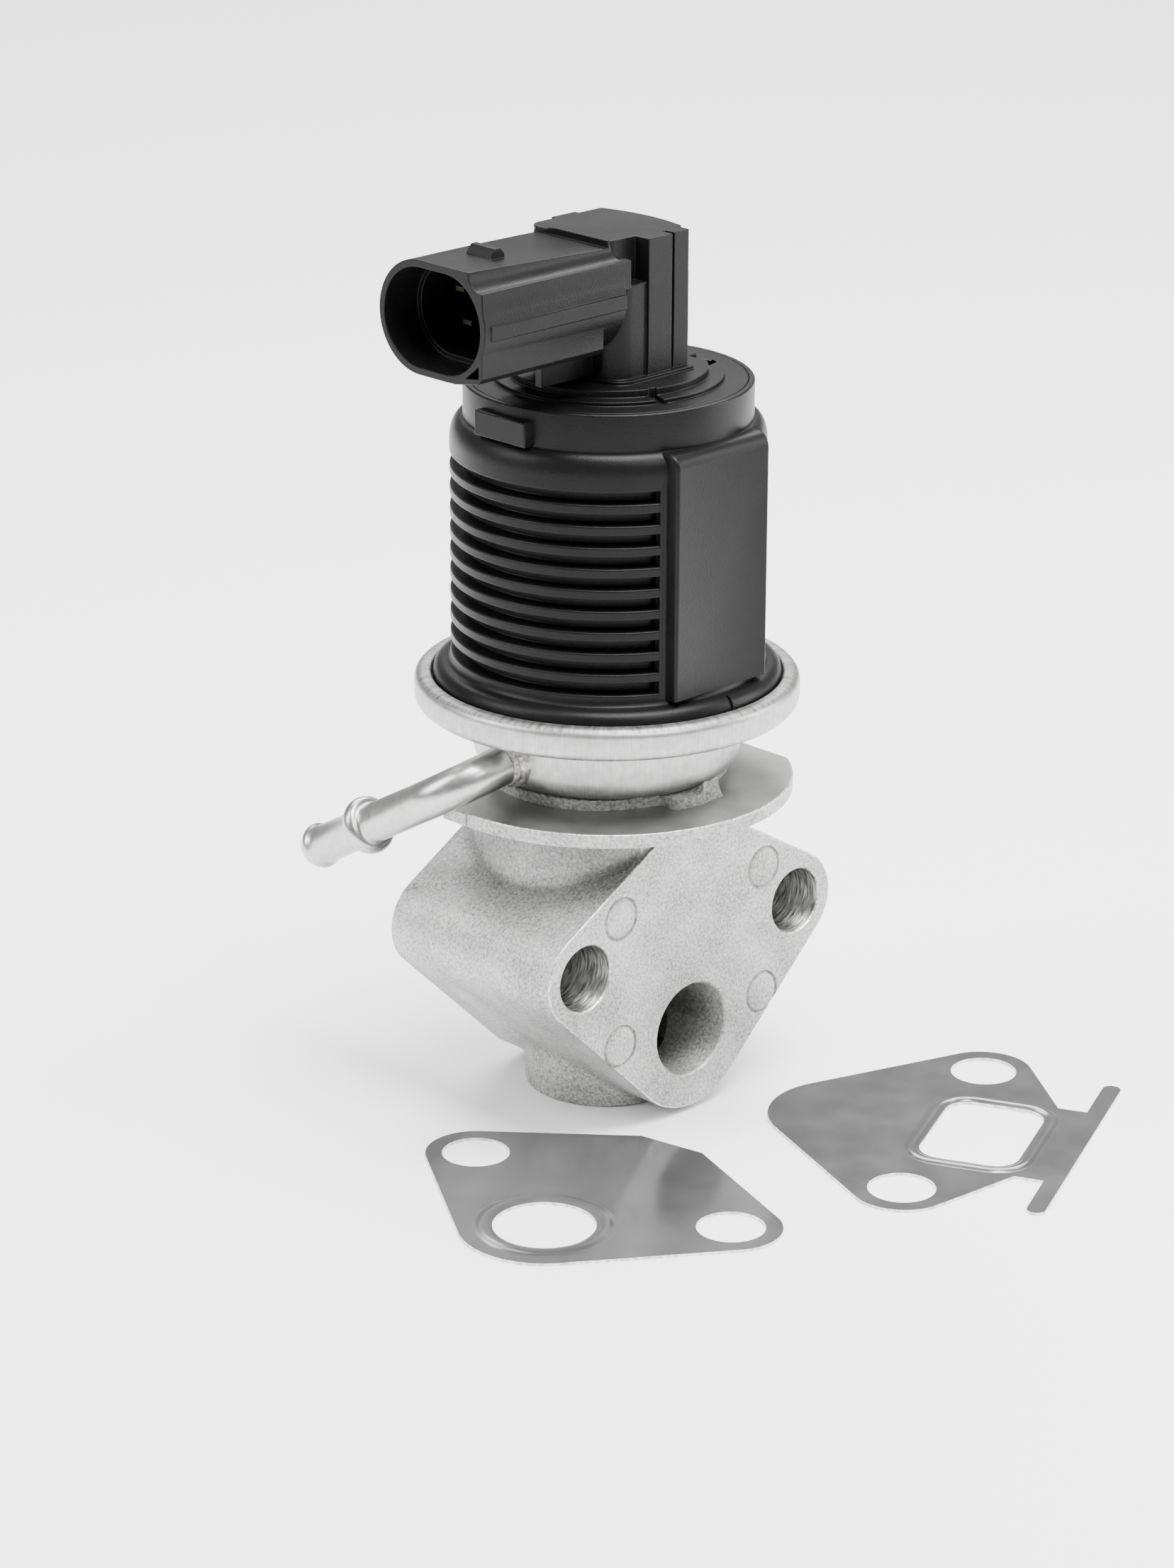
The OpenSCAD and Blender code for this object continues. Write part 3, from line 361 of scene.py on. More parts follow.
chambers = turned([(0, -2), (8.6, -2), (8.6, 4.4), (8.5, 4.4), (8.5, 36.3), (4.6, 36.3), (4.6, 50),
                   (0, 50)], 96)
port_corners = [(-9.2, 23.8, 3), (9.2, 23.8, 3), (9.2, 36.8, 3), (-9.2, 36.8, 3)]
back_port = placed(prism(rounded(port_corners, 6, True), -16, 0), Matrix.Rotation(QUARTER_TURN, 4, "X"))
mark_ring = [(MARK_OUT, FRONT_Y - 1), (MARK_OUT, FRONT_Y), (2.85, FRONT_Y + 0.22), (MARK_IN, FRONT_Y),
             (MARK_IN, FRONT_Y - 1)]
for tool in (
    together(*[hole_cutter(BOLT_R, FRONT_Y, 17, x, BOLT_Z) for x in BOLTS_X]),
    hole_cutter(PORT_R, FRONT_Y, 0, 0, PORT_Z, 0.3),
    back_port,
    chambers,
    together(*[along_y(turned(mark_ring, 48, True), x, z) for x, z in MARKS]),
):
    casting = fitted(casting, tool)

SAND, REAMED, PORT_SAND, TURNED_FACE, WORN_AND_HIGHLIT, SHADED = range(6)


def skin_of(face):
    middle = face.calc_center_median()
    reach = math.hypot(middle.x, middle.y)
    from_bolt = min(math.hypot(middle.x - x, middle.z - BOLT_Z) for x in BOLTS_X)
    from_port = math.hypot(middle.x, middle.z - PORT_Z)
    from_mark = min(math.hypot(middle.x - x, middle.z - z) for x, z in MARKS)
    if from_bolt < BOLT_R + 0.02:
        return REAMED
    if from_port < PORT_R + 0.02 and middle.y < 0 and abs(face.normal.y) < 0.5:
        return PORT_SAND
    if abs(middle.z - DISC_TOP) < 0.1 and face.normal.z > 0.98:
        return TURNED_FACE
    if middle.y < FRONT_Y + 0.5 and MARK_IN - 0.05 < from_mark < MARK_OUT + 0.05:
        return PORT_SAND
    # Painted highlight, partly real wear: the front arris and the disc's top edge take the bright edge
    # material
    front_arris = 0.15 < -face.normal.y < 0.97 and FRONT_Y < middle.y < FRONT_Y + 0.23
    if front_arris and middle.z < 41.5 and from_mark > 3.3 and from_port > 8:
        return WORN_AND_HIGHLIT
    if 0.2 < face.normal.z < 0.97 and DISC_TOP - 0.21 < middle.z < DISC_TOP + 0.01 and reach > 20:
        return WORN_AND_HIGHLIT
    # Painted shade: the neck's wall under the disc, the flange's top strip and the disc's underside take the
    # darkened material, which paints the shade and the shadow line under the disc
    neck_wall = abs(reach - NECK_R) < 1.5 and middle.z > 33 and middle.y > FRONT_Y + 1
    if middle.z < 43 and (middle.z > 41.5 or neck_wall):
        return SHADED
    return SAND


for face in casting.faces:
    face.material_index = skin_of(face)


# A finish: a pattern runs between two tones, and a relief dents the skin, to a depth in metres
def surfaced(tree, shader, pattern, span, tones, relief=None, strength=0.0, depth=0.0):
    share = add_node(tree, "ShaderNodeMapRange", {0: pattern.outputs[0], 1: span[0], 2: span[1]})
    dark, light = [hex_linear(code) for code in tones]
    paint = add_node(tree, "ShaderNodeMix", {0: share.outputs[0], 6: dark, 7: light}, data_type="RGBA")
    tree.links.new(paint.outputs[2], shader.inputs["Base Color"])
    if relief:
        dents = add_node(tree, "ShaderNodeBump", {"Height": relief.outputs[0], "Strength": strength,
                                                  "Distance": depth})
        tree.links.new(dents.outputs[0], shader.inputs["Normal"])
    return paint


# Sand-cast aluminium: dull light grey, grainy from the mould's sand, with cloudy patches. The
# grain of the real skin is about 0.15 mm, and is drawn at 0.35 mm, as fine as the picture shows.
def sand_skin(name):
    made, tree, shader, place = new_material(name)
    grain = add_node(tree, "ShaderNodeTexNoise", {"Vector": place, "Scale": 2600.0, "Detail": 3.0,
                                                  "Roughness": 0.65})
    cloud = add_node(tree, "ShaderNodeTexNoise", {"Vector": place, "Scale": 120.0, "Detail": 3.0})
    mixed = add_node(tree, "ShaderNodeMix", {0: 0.3, 2: grain.outputs[0], 3: cloud.outputs[0]})
    paint = surfaced(tree, shader, mixed, (0.36, 0.62), ("#7c7c7b", "#cacac9"), grain, 0.6, 0.00006)
    shader.inputs["Metallic"].default_value = 0.85
    shader.inputs["Roughness"].default_value = 0.55
    return made, tree, shader, place, paint


sand_cast = sand_skin("sand_cast_aluminium")[0]

# Towards the disc's underside the neck's colour is darkened: painted shade under the disc's overhang, which
# fades in from 33 mm up to 42.5 mm
under_disc_painted_shade, tree, shader, place, paint = sand_skin("painted_shade_aluminium")
height = add_node(tree, "ShaderNodeSeparateXYZ", {"Vector": place})
shade_depth = add_node(tree, "ShaderNodeMapRange", {0: height.outputs[2], 1: 0.033, 2: 0.0425, 3: 0.0, 4: 0.75})
# The dark tone that the painted shade mixes in
shaded = add_node(tree, "ShaderNodeMix", {0: shade_depth.outputs[0], 6: paint.outputs[2], 7: hex_linear("#4a4a49")},
                  data_type="RGBA")
tree.links.new(shaded.outputs[2], shader.inputs["Base Color"])

# Worn and highlit arris: the flange's front edge and the disc's top edge are painted bright, partly the
# broken skin where they have been handled and rubbed, in scuffs about 0.4 mm wide, and partly a painted
# highlight along the edge
worn_and_highlit_edge, tree, shader, place = new_material("worn_and_highlit_aluminium_edge")
scuffs = add_node(tree, "ShaderNodeTexNoise", {"Vector": place, "Scale": 2400.0, "Detail": 3.0,
                                               "Roughness": 0.7})
surfaced(tree, shader, scuffs, (0.38, 0.6), ("#a0a09f", "#eeeeed"), scuffs, 0.7, 0.00008)
shader.inputs["Metallic"].default_value = 1.0
shader.inputs["Roughness"].default_value = 0.42

# Reamed bore: darker and shinier, with the spiral scratches of the reamer about 0.4 mm apart
reamed, tree, shader, place = new_material("reamed_aluminium")
squeezed = add_node(tree, "ShaderNodeMapping", {"Vector": place, "Rotation": (0.35, 0.0, 0.0),
                                                 "Scale": (500.0, 2600.0, 500.0)})
lines = add_node(tree, "ShaderNodeTexNoise", {"Vector": squeezed.outputs[0], "Scale": 1.0, "Detail": 4.0})
surfaced(tree, shader, lines, (0.35, 0.68), ("#626261", "#b8b8b6"), lines, 0.8, 0.00012)
shader.inputs["Metallic"].default_value = 1.0
shader.inputs["Roughness"].default_value = 0.38

# Cored port: the core's coarser sand, about 0.4 mm, leaves a dark, sparkling wall
port_sand, tree, shader, place = new_material("cored_aluminium")
grain = add_node(tree, "ShaderNodeTexNoise", {"Vector": place, "Scale": 2300.0, "Detail": 2.0,
                                              "Roughness": 0.7})
surfaced(tree, shader, grain, (0.3, 0.78), ("#727271", "#b9b9b7"), grain, 0.8, 0.0001)
shader.inputs["Metallic"].default_value = 0.8
shader.inputs["Roughness"].default_value = 0.55

# Turned face of the disc: smooth mid grey with faint rings round the axis, about 0.25 mm apart
turned_face, tree, shader, place = new_material("turned_aluminium")
parts = add_node(tree, "ShaderNodeSeparateXYZ", {"Vector": place})
flat = add_node(tree, "ShaderNodeCombineXYZ", {"X": parts.outputs[0], "Y": parts.outputs[1]})
reach = add_node(tree, "ShaderNodeVectorMath", {0: flat.outputs[0]}, operation="LENGTH")
rings = add_node(tree, "ShaderNodeTexNoise", {"W": reach.outputs["Value"], "Scale": 4200.0, "Detail": 2.0},
                 noise_dimensions="1D")
smear = add_node(tree, "ShaderNodeTexNoise", {"Vector": place, "Scale": 260.0, "Detail": 4.0})
surfaced(tree, shader, smear, (0.2, 0.8), ("#a0a09f", "#bcbcbb"), rings, 0.25, 0.00003)
shader.inputs["Metallic"].default_value = 1.0
shader.inputs["Roughness"].default_value = 0.36

finished("casting", casting, [sand_cast, reamed, port_sand, turned_face, worn_and_highlit_edge, under_disc_painted_shade],
         ["cast_housing"], crease=45)


# Fibre gasket: a ring torn from pressed fibre sheet between the disc and the cup. Its edge is
# ragged, and one lobe sticks out at the front and curls up against the cup.
def step_up(low, high, value):
    t = min(max((value - low) / (high - low), 0), 1)
    return t * t * (3 - 2 * t)


FIBRE_T = 1.4
FIBRE_TOP = DISC_TOP + FIBRE_T
wall = [(16.3, DISC_TOP + FIBRE_T * i / 6) for i in range(7)]
fibre_ring = turned([(r, DISC_TOP) for r in (8.1, 12, 14, 15.4)] + wall
                    + [(r, FIBRE_TOP) for r in (15.4, 14, 12, 8.1)], 420, closed=True)
for v in fibre_ring.verts:
    reach = math.hypot(v.co.x, v.co.y)
    if reach < 13:
        continue
    bearing = math.degrees(math.atan2(v.co.y, v.co.x))
    share = (reach - 13) / 3.3
    lobe = step_up(-107.5, -104, bearing) * (1 - step_up(-78, -75, bearing))
    second = step_up(-93, -86, bearing) * (1 - step_up(-72, -67, bearing))
    pulled_in = step_up(-155, -112, bearing) * (1 - step_up(-60, -40, bearing))
    rag = 0.28 * noise.noise(v.co * 1.3) + 0.16 * noise.noise(v.co * 4.1)
    height = (v.co.z - DISC_TOP) / FIBRE_T
    grown = reach + share * (2.75 * lobe - 0.8 * pulled_in - 0.9 * lobe * second * height
                             + 1.3 * (second - lobe * second) * height + rag * (0.4 + 0.8 * lobe))
    v.co.x *= grown / reach
    v.co.y *= grown / reach
    if reach > 15:
        v.co.z += share * (1.1 * second * height + 0.16 * noise.noise(v.co * 2.2) * height)

# Pressed fibre: matt, mottled light grey with darker flecks about 0.4 mm long
fibre, tree, shader, place = new_material("pressed_fibre")
fleck = add_node(tree, "ShaderNodeTexNoise", {"Vector": place, "Scale": 2100.0, "Detail": 4.0,
                                              "Roughness": 0.7})
surfaced(tree, shader, fleck, (0.34, 0.62), ("#646462", "#afafac"), fleck, 0.8, 0.0001)
shader.inputs["Roughness"].default_value = 0.85
finished("fibre_ring", fibre_ring, [fibre], ["fibre_gasket"], crease=60)


# Steel cup: deep drawn from 1.2 mm sheet, with its rim rolled over the solenoid's foot. The rolled
# top keeps the short radial marks of the crimping tool, and the wall has faint upright draw marks.
PIPE_CORNER = Vector((-27.728, 0, 49.228))
LEG_IN = Vector((-math.cos(math.radians(7)), 0, -math.sin(math.radians(7))))
LEG_OUT = Vector((0, math.cos(math.radians(30)), -math.sin(math.radians(30))))
PIPE_R = 2.65
cup_path = rounded([
    (8.1, FIBRE_TOP), (17.75, FIBRE_TOP, 3.0), (18.1, 54.81, 2.3), (25.7, 54.81, 1.5), (25.7, 59.31, 1.25),
    (23.4, 59.31, 0.45), (23.4, 58.11), (24.5, 58.11), (24.5, 56.01, 0.3), (16.9, 56.01, 3.0),
    (16.5, 47.41, 2.0), (8.1, 47.41)], 7, True)
root_turn = (-LEG_IN).to_track_quat("Z", "Y").to_matrix().to_4x4()
root_hole = placed(drum(PIPE_R, 3, 13, 48), Matrix.Translation(PIPE_CORNER) @ root_turn)
cup = fitted(turned(cup_path, 200, closed=True), root_hole)
# The rolled top takes the cup's second material
for face in cup.faces:
    if face.calc_center_median().z > 58.5 and face.normal.z > 0.6:
        face.material_index = 1

# Drawn steel: bright satin, with upright streaks that the drawing die leaves about 0.3 mm apart
drawn_steel, tree, shader, place = new_material("drawn_steel")
parts = add_node(tree, "ShaderNodeSeparateXYZ", {"Vector": place})
bearing = add_node(tree, "ShaderNodeMath", {0: parts.outputs[1], 1: parts.outputs[0]}, operation="ARCTAN2")
wound = add_node(tree, "ShaderNodeMath", {0: bearing.outputs[0], 1: 70.0}, operation="MULTIPLY")
climb = add_node(tree, "ShaderNodeMath", {0: parts.outputs[2], 1: 160.0}, operation="MULTIPLY")
unrolled = add_node(tree, "ShaderNodeCombineXYZ", {"X": wound.outputs[0], "Y": climb.outputs[0]})
streaks = add_node(tree, "ShaderNodeTexNoise", {"Vector": unrolled.outputs[0], "Scale": 1.4, "Detail": 3.0})
dust = add_node(tree, "ShaderNodeTexNoise", {"Vector": place, "Scale": 900.0, "Detail": 3.0})
both = add_node(tree, "ShaderNodeMath", {0: streaks.outputs[0], 1: dust.outputs[0]}, operation="MULTIPLY")
surfaced(tree, shader, both, (0.1, 0.42), ("#9c9c9b", "#bebebd"), both, 0.18, 0.00003)
shader.inputs["Metallic"].default_value = 1.0
shader.inputs["Roughness"].default_value = 0.4

# The rolled top is duller: the crimping wheels leave it grey, with radial marks about 0.6 mm apart
rolled_steel, tree, shader, place = new_material("rolled_rim_steel")
parts = add_node(tree, "ShaderNodeSeparateXYZ", {"Vector": place})
bearing = add_node(tree, "ShaderNodeMath", {0: parts.outputs[1], 1: parts.outputs[0]}, operation="ARCTAN2")
wound = add_node(tree, "ShaderNodeMath", {0: bearing.outputs[0], 1: 40.0}, operation="MULTIPLY")
flat = add_node(tree, "ShaderNodeCombineXYZ", {"X": parts.outputs[0], "Y": parts.outputs[1]})
reach = add_node(tree, "ShaderNodeVectorMath", {0: flat.outputs[0]}, operation="LENGTH")
inward = add_node(tree, "ShaderNodeMath", {0: reach.outputs["Value"], 1: 350.0}, operation="MULTIPLY")
fan = add_node(tree, "ShaderNodeCombineXYZ", {"X": wound.outputs[0], "Y": inward.outputs[0]})
scores = add_node(tree, "ShaderNodeTexNoise", {"Vector": fan.outputs[0], "Scale": 1.0, "Detail": 4.0,
                                               "Roughness": 0.65})
surfaced(tree, shader, scores, (0.34, 0.66), ("#6e6e6d", "#a8a8a7"), scores, 0.4, 0.00006)
shader.inputs["Metallic"].default_value = 1.0
shader.inputs["Roughness"].default_value = 0.5
finished("drawn_cup", cup, [drawn_steel, rolled_steel], ["steel_cup"], crease=50)


# Vent pipe: drawn steel pipe, bent once, with a rolled bead that stops the hose and a barb at its
# end. It is pushed into the cup's wall and brazed there.
bend_normal = LEG_IN.cross(LEG_OUT).normalized()
bend_turn = LEG_IN.angle(LEG_OUT)
bend_r = 7.0
bend_length = bend_r * math.tan(bend_turn / 2)


def pipe_stations(legs, radius):
    stations = [(PIPE_CORNER - LEG_IN * 12.7, LEG_IN, radius), (PIPE_CORNER - LEG_IN * 9.7, LEG_IN, radius)]
    bend_start = PIPE_CORNER - LEG_IN * bend_length
    inward = bend_normal.cross(LEG_IN)
    centre = bend_start + inward * bend_r
    for i in range(17):
        swing = Matrix.Rotation(bend_turn * i / 16, 3, bend_normal)
        stations.append((centre + swing @ (bend_start - centre), swing @ LEG_IN, radius))
    for length, size in legs:
        stations.append((PIPE_CORNER + LEG_OUT * length, LEG_OUT, size))
    return stations


bore = 1.85
bead = [(19.6 + 1.15 * math.sin(math.radians(a)), 3.1 + 0.85 * math.cos(math.radians(a)))
        for a in range(-90, 91, 15)]
barb = [(29.7, 2.72), (30.1, 2.98), (30.45, 3.1), (30.8, 3.08), (31.4, 2.86), (32.0, 2.55), (32.25, 2.3),
        (32.3, 2.1), (32.2, 1.9), (31.9, bore)]
outer_legs = [(18.0, PIPE_R), (18.35, PIPE_R + 0.12)] + bead
outer_legs += [(20.85, PIPE_R + 0.12), (21.2, PIPE_R), (29.0, PIPE_R)] + barb
stations = pipe_stations(outer_legs, PIPE_R) + pipe_stations([(31.5, bore)], bore)[::-1]
pipe = bmesh.new()
hoops = []
for spot, heading, radius in stations:
    across = Matrix((bend_normal, heading.cross(bend_normal), heading)).transposed().to_4x4()
    hoop = bmesh.ops.create_circle(pipe, cap_ends=False, segments=48, radius=radius,
                                   matrix=Matrix.Translation(spot) @ across)
    hoops.append(hoop["verts"])
for near, far in zip(hoops, hoops[1:] + hoops[:1]):
    rim = [e for e in pipe.edges if e.verts[0] in near and e.verts[1] in near]
    rim += [e for e in pipe.edges if e.verts[0] in far and e.verts[1] in far]
    bmesh.ops.bridge_loops(pipe, edges=rim)

# Drawn pipe: brighter and smoother than the sheet, with soft clouds about 1.5 mm wide
pipe_steel, tree, shader, place = new_material("drawn_pipe_steel")
dust = add_node(tree, "ShaderNodeTexNoise", {"Vector": place, "Scale": 700.0, "Detail": 4.0,
                                             "Roughness": 0.6})
surfaced(tree, shader, dust, (0.2, 0.8), ("#a6a6a5", "#c6c6c5"))
sheen = add_node(tree, "ShaderNodeMapRange", {0: dust.outputs[0], 1: 0.3, 2: 0.7, 3: 0.27, 4: 0.33})
shader.inputs["Metallic"].default_value = 1.0
tree.links.new(sheen.outputs[0], shader.inputs["Roughness"])
finished("vent_pipe", pipe, [pipe_steel], ["vent_tube"], crease=60)

braze_path = rounded([(PIPE_R, 8.2), (2.85, 8.2, 0.1), (3.25, 8.75, 0.25), (2.95, 9.1, 0.12),
                      (3.5, 9.35, 0.35), (3.7, 10.6), (PIPE_R, 10.6)], 4, True)
braze_ring = placed(turned(braze_path, 72, closed=True), Matrix.Translation(PIPE_CORNER) @ root_turn)
for v in braze_ring.verts:
    v.co += v.normal * 0.07 * noise.noise(v.co * 2.3)

# Braze: a dull, slightly lumpy fillet, greyed over by the flux
braze, tree, shader, place = new_material("brazed_fillet")
lumps = add_node(tree, "ShaderNodeTexNoise", {"Vector": place, "Scale": 1500.0, "Detail": 3.0})
surfaced(tree, shader, lumps, (0.35, 0.65), ("#7d7c78", "#d0cfcb"), lumps, 0.6, 0.0001)
shader.inputs["Metallic"].default_value = 0.9
shader.inputs["Roughness"].default_value = 0.4
finished("braze_ring", braze_ring, [braze], ["tube_braze"], crease=60)


# Solenoid body: moulded over the coil from black glass-filled nylon, with ten cooling ribs, a
# smooth strip and a flat pad at the front, a rounded foot that the cup grips, and a collar on top.
def ellipse(centre_r, centre_z, wide, high, steps=8):
    angles = [QUARTER_TURN * k / steps for k in range(steps + 1)]
    return [(centre_r + wide * math.cos(a), centre_z + high * math.sin(a)) for a in angles]


BODY_R = 20.83
RIB_Z, RIB_HIGH, GROOVE_HIGH, GROOVE_DEEP = 61.16, 1.26, 1.582, 2.0
corners = [(17.4, 57.21), (24.4, 57.21), (24.4, 58.06), (23.2, 58.06), (23.2, 60.5, 1.5), (21.2, 60.9, 0.3),
           (BODY_R, 61.3)]
for i in range(10):
    low = RIB_Z + RIB_HIGH + (RIB_HIGH + GROOVE_HIGH) * i
    high = low + GROOVE_HIGH
    corners += [(BODY_R, low, 0.26), (BODY_R - GROOVE_DEEP, low, 0.3), (BODY_R - GROOVE_DEEP, high, 0.3),
                (BODY_R, high, 0.16)]
body_path = rounded(corners + [(BODY_R, 91.36)], 3, hold=0.04)[:-1] + ellipse(19.07, 91.36, 1.76, 3.0)
body_path += rounded([(19.07, 94.36), (19.07, 99.36, 0.3), (18.27, 99.36, 0.12), (18.27, 96.96),
                      (15.17, 96.96), (15.17, 94.36), (5, 94.36), (5, 91.51), (17.4, 91.51)], 4)[1:]
shell = turned(body_path, 200, closed=True)
strip = drum(BODY_R + 0.02, 61.6, 90.9, 240)
for point, away in (((-9.1, 0, 0), (-1, 0, 0)), ((9.9, 0, 0), (1, 0, 0)), ((0, -17.9, 0), (0, 1, 0))):
    strip = trimmed(strip, point, away)
side_edges = [e for e in strip.edges if e.verts[0].co.x == e.verts[1].co.x
              and max(v.co.y for v in e.verts) < -18]
softened(strip, side_edges, 0.18)
PAD_LEFT, PAD_RIGHT = -8.25, 8.65
pad_side = rounded([(-17.9, 61.5), (-20.9, 61.5), (-20.9, 94.3, 1.9), (-17.9, 94.32)], 6)
on_edge = Matrix(((0, 0, 1, 0), (1, 0, 0, 0), (0, 1, 0, 0), (0, 0, 0, 1)))
pad = placed(prism(pad_side, PAD_LEFT, PAD_RIGHT), on_edge)
pad_edges = [e for e in pad.edges if abs(e.calc_length() - (PAD_RIGHT - PAD_LEFT)) > 0.01
             and min(v.co.y for v in e.verts) < -18.2 and max(v.co.z for v in e.verts) > 62]
softened(pad, pad_edges, 0.4)
tab = bmesh.new()
bmesh.ops.create_cube(tab, size=1.0, matrix=Matrix.Translation((-18.9, -0.35, 96.14))
                      @ Matrix.Diagonal((2.2, 9.3, 3.35, 1)))
softened(tab, tab.edges[:], 0.2)
seam = turned([(22.6, 58.2), (23.32, 58.2), (23.32, 59.6), (23.2, 60.2), (22.7, 60.75), (22.2, 60.9),
               (21.8, 60.6)], 2, True, angle=math.radians(0.5), start=math.radians(-90.25))
body_black = together(shell, strip, pad, tab, seam)

# Glass-filled nylon: black, with the fine spark-eroded skin of the mould, about 0.2 mm, which
# glitters where the light grazes a rounded edge
moulded_black, tree, shader, place = new_material("glass_filled_nylon")
skin = add_node(tree, "ShaderNodeTexNoise", {"Vector": place, "Scale": 5200.0, "Detail": 2.0,
                                             "Roughness": 0.6})
cloud = add_node(tree, "ShaderNodeTexNoise", {"Vector": place, "Scale": 90.0, "Detail": 3.0})
surfaced(tree, shader, cloud, (0.3, 0.7), ("#0b0b0b", "#111111"), skin, 0.6, 0.00005)
sheen = add_node(tree, "ShaderNodeMapRange", {0: cloud.outputs[0], 1: 0.3, 2: 0.7, 3: 0.32, 4: 0.38})
shader.inputs["IOR"].default_value = 1.5
shader.inputs["Specular IOR Level"].default_value = 0.15
tree.links.new(sheen.outputs[0], shader.inputs["Roughness"])
finished("ribbed_body", body_black, [moulded_black], ["solenoid_body"], crease=50)


# Sensor cover: the black lid that carries the tower with the position sensor and the plug socket,
# moulded from the same nylon and set into the collar. Its edges are broken by about 0.1 mm.
cover = bmesh.new()
cover.from_mesh(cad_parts["sensor_cover"].data)
bmesh.ops.scale(cover, vec=(1000, 1000, 1000), verts=cover.verts)
bmesh.ops.remove_doubles(cover, verts=cover.verts, dist=0.002)
bmesh.ops.dissolve_limit(cover, angle_limit=math.radians(1), verts=cover.verts, edges=cover.edges)
bmesh.ops.recalc_face_normals(cover, faces=cover.faces)
softened(cover, sharp_edges(cover), 0.11, 2, 0.03)
finished("tower_cover", cover, [moulded_black], ["sensor_cover"], crease=50)


# Inside: the turned, drawn, wound and moulded parts of the valve and the sensor. Their CAD shapes
# are right as they are, so each only gets the finish of its real material, the tinned parts in a darkened
# tone that paints the socket's shade.
def dress(material, *nodes):
    for node in nodes:
        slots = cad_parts[node].data.materials
        if not len(slots):
            slots.append(material)
        for i in range(len(slots)):
            slots[i] = material


# A turned or wound part shows fine rings round the valve's axis, pitch millimetres apart
def ringed(name, dark, light, roughness, pitch=0.3, dent=0.00003):
    made, tree, shader, place = new_material(name)
    parts = add_node(tree, "ShaderNodeSeparateXYZ", {"Vector": place})
    flat = add_node(tree, "ShaderNodeCombineXYZ", {"X": parts.outputs[0], "Y": parts.outputs[1]})
    reach = add_node(tree, "ShaderNodeVectorMath", {0: flat.outputs[0]}, operation="LENGTH")
    line = add_node(tree, "ShaderNodeCombineXYZ", {"X": reach.outputs["Value"], "Y": parts.outputs[2]})
    rings = add_node(tree, "ShaderNodeTexNoise", {"Vector": line.outputs[0], "Scale": 1000 / pitch,
                                                  "Detail": 2.0})
    surfaced(tree, shader, rings, (0.3, 0.7), (dark, light), rings, 0.4, dent)
    shader.inputs["Metallic"].default_value = 1.0
    shader.inputs["Roughness"].default_value = roughness
    return made


# A moulded, sintered or plated part shows a fine even grain instead, grain millimetres wide
def grained(name, dark, light, roughness, grain=0.3, metallic=0.0, dent=0.00003):
    made, tree, shader, place = new_material(name)
    skin = add_node(tree, "ShaderNodeTexNoise", {"Vector": place, "Scale": 1000 / grain, "Detail": 3.0})
    surfaced(tree, shader, skin, (0.3, 0.7), (dark, light), skin, 0.4, dent)
    shader.inputs["Metallic"].default_value = metallic
    shader.inputs["Roughness"].default_value = roughness
    return made


dress(ringed("turned_stainless_steel", "#7d7a77", "#a09d99", 0.32), "bottom_plug", "valve_seat", "valve_stem")
dress(grained("sintered_bronze", "#8f7443", "#b3945a", 0.45, 0.25, 1.0), "stem_guide")
dress(grained("nitrile_rubber", "#1a1a1a", "#242424", 0.6, 0.4), "stem_seal", "body_seal", "cover_seal")
dress(ringed("zinc_plated_iron", "#8b8c8f", "#a9aaad", 0.4), "flux_plate", "pole_core", "armature",
      "armature_clip", "yoke_sleeve", "top_plate")
dress(ringed("drawn_brass", "#c09a4c", "#d8b766", 0.28, 0.5), "armature_tube")
dress(grained("moulded_black_nylon", "#202020", "#2a2a2a", 0.5), "bobbin")
dress(ringed("enamelled_copper_wire", "#8a4420", "#c57a45", 0.35, 0.35, 0.0001), "winding")
# Painted shade: the tinned parts are given a dark tone, darker than tinned brass is, which paints the shade
# in the socket where the pins stand
dress(grained("tinned_brass_painted_shade", "#4b4840", "#5d594f", 0.4, 0.3, 1.0, 0.00001), "coil_leads", "sensor_wiper",
      "terminal_pins")
dress(grained("white_acetal", "#dcd9cf", "#ece9e0", 0.4), "sensor_plunger", "sensor_track")


# Springs: coils of round drawn wire. The return spring shortens when the magnet pulls the armature
# down, and the sensor spring lengthens as it keeps the plunger on the stem; both are modelled here
# as pieces of their own.
def coil(name, radius, wire, low, high, turns, body):
    made = bmesh.new()
    bmesh.ops.create_circle(made, cap_ends=False, segments=12, radius=wire,
                            matrix=Matrix.Translation((radius, 0, low + wire)) @ UPRIGHT)
    steps = 32 * turns
    bmesh.ops.spin(made, geom=made.verts[:] + made.edges[:], cent=(0, 0, 0), axis=(0, 0, 1),
                   dvec=(0, 0, (high - low - 2 * wire) / steps), angle=2 * math.pi * turns, steps=steps)
    bmesh.ops.holes_fill(made, edges=[e for e in made.edges if e.is_boundary])
    return finished(name + "_coil", made, [spring_wire], [name], body)


spring_wire = grained("drawn_spring_wire", "#8f9092", "#acadaf", 0.3, 0.2, 1.0, 0.00001)
seat_z, armature_z = 60.21, 70.31
return_coil = coil("return_spring", 4.25, 0.45, seat_z + 0.02, armature_z - 0.04, 5, "housing")
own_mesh(return_coil)
# The sensor spring rides on no single body, because its two ends are on two
plunger_z, roof_z = 110.16, 117.36
sensor_coil = coil("sensor_spring", 1.5, 0.2, plunger_z + 0.01, roof_z - 0.01, 7, None)
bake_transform(sensor_coil)


# Loose gaskets: two thin stamped steel sheets with a satin coat, one for each flange. Each has a
# soft bead pressed round its port and a bright sheared edge, and both lie flat on the table.
SHEET_T = 0.4


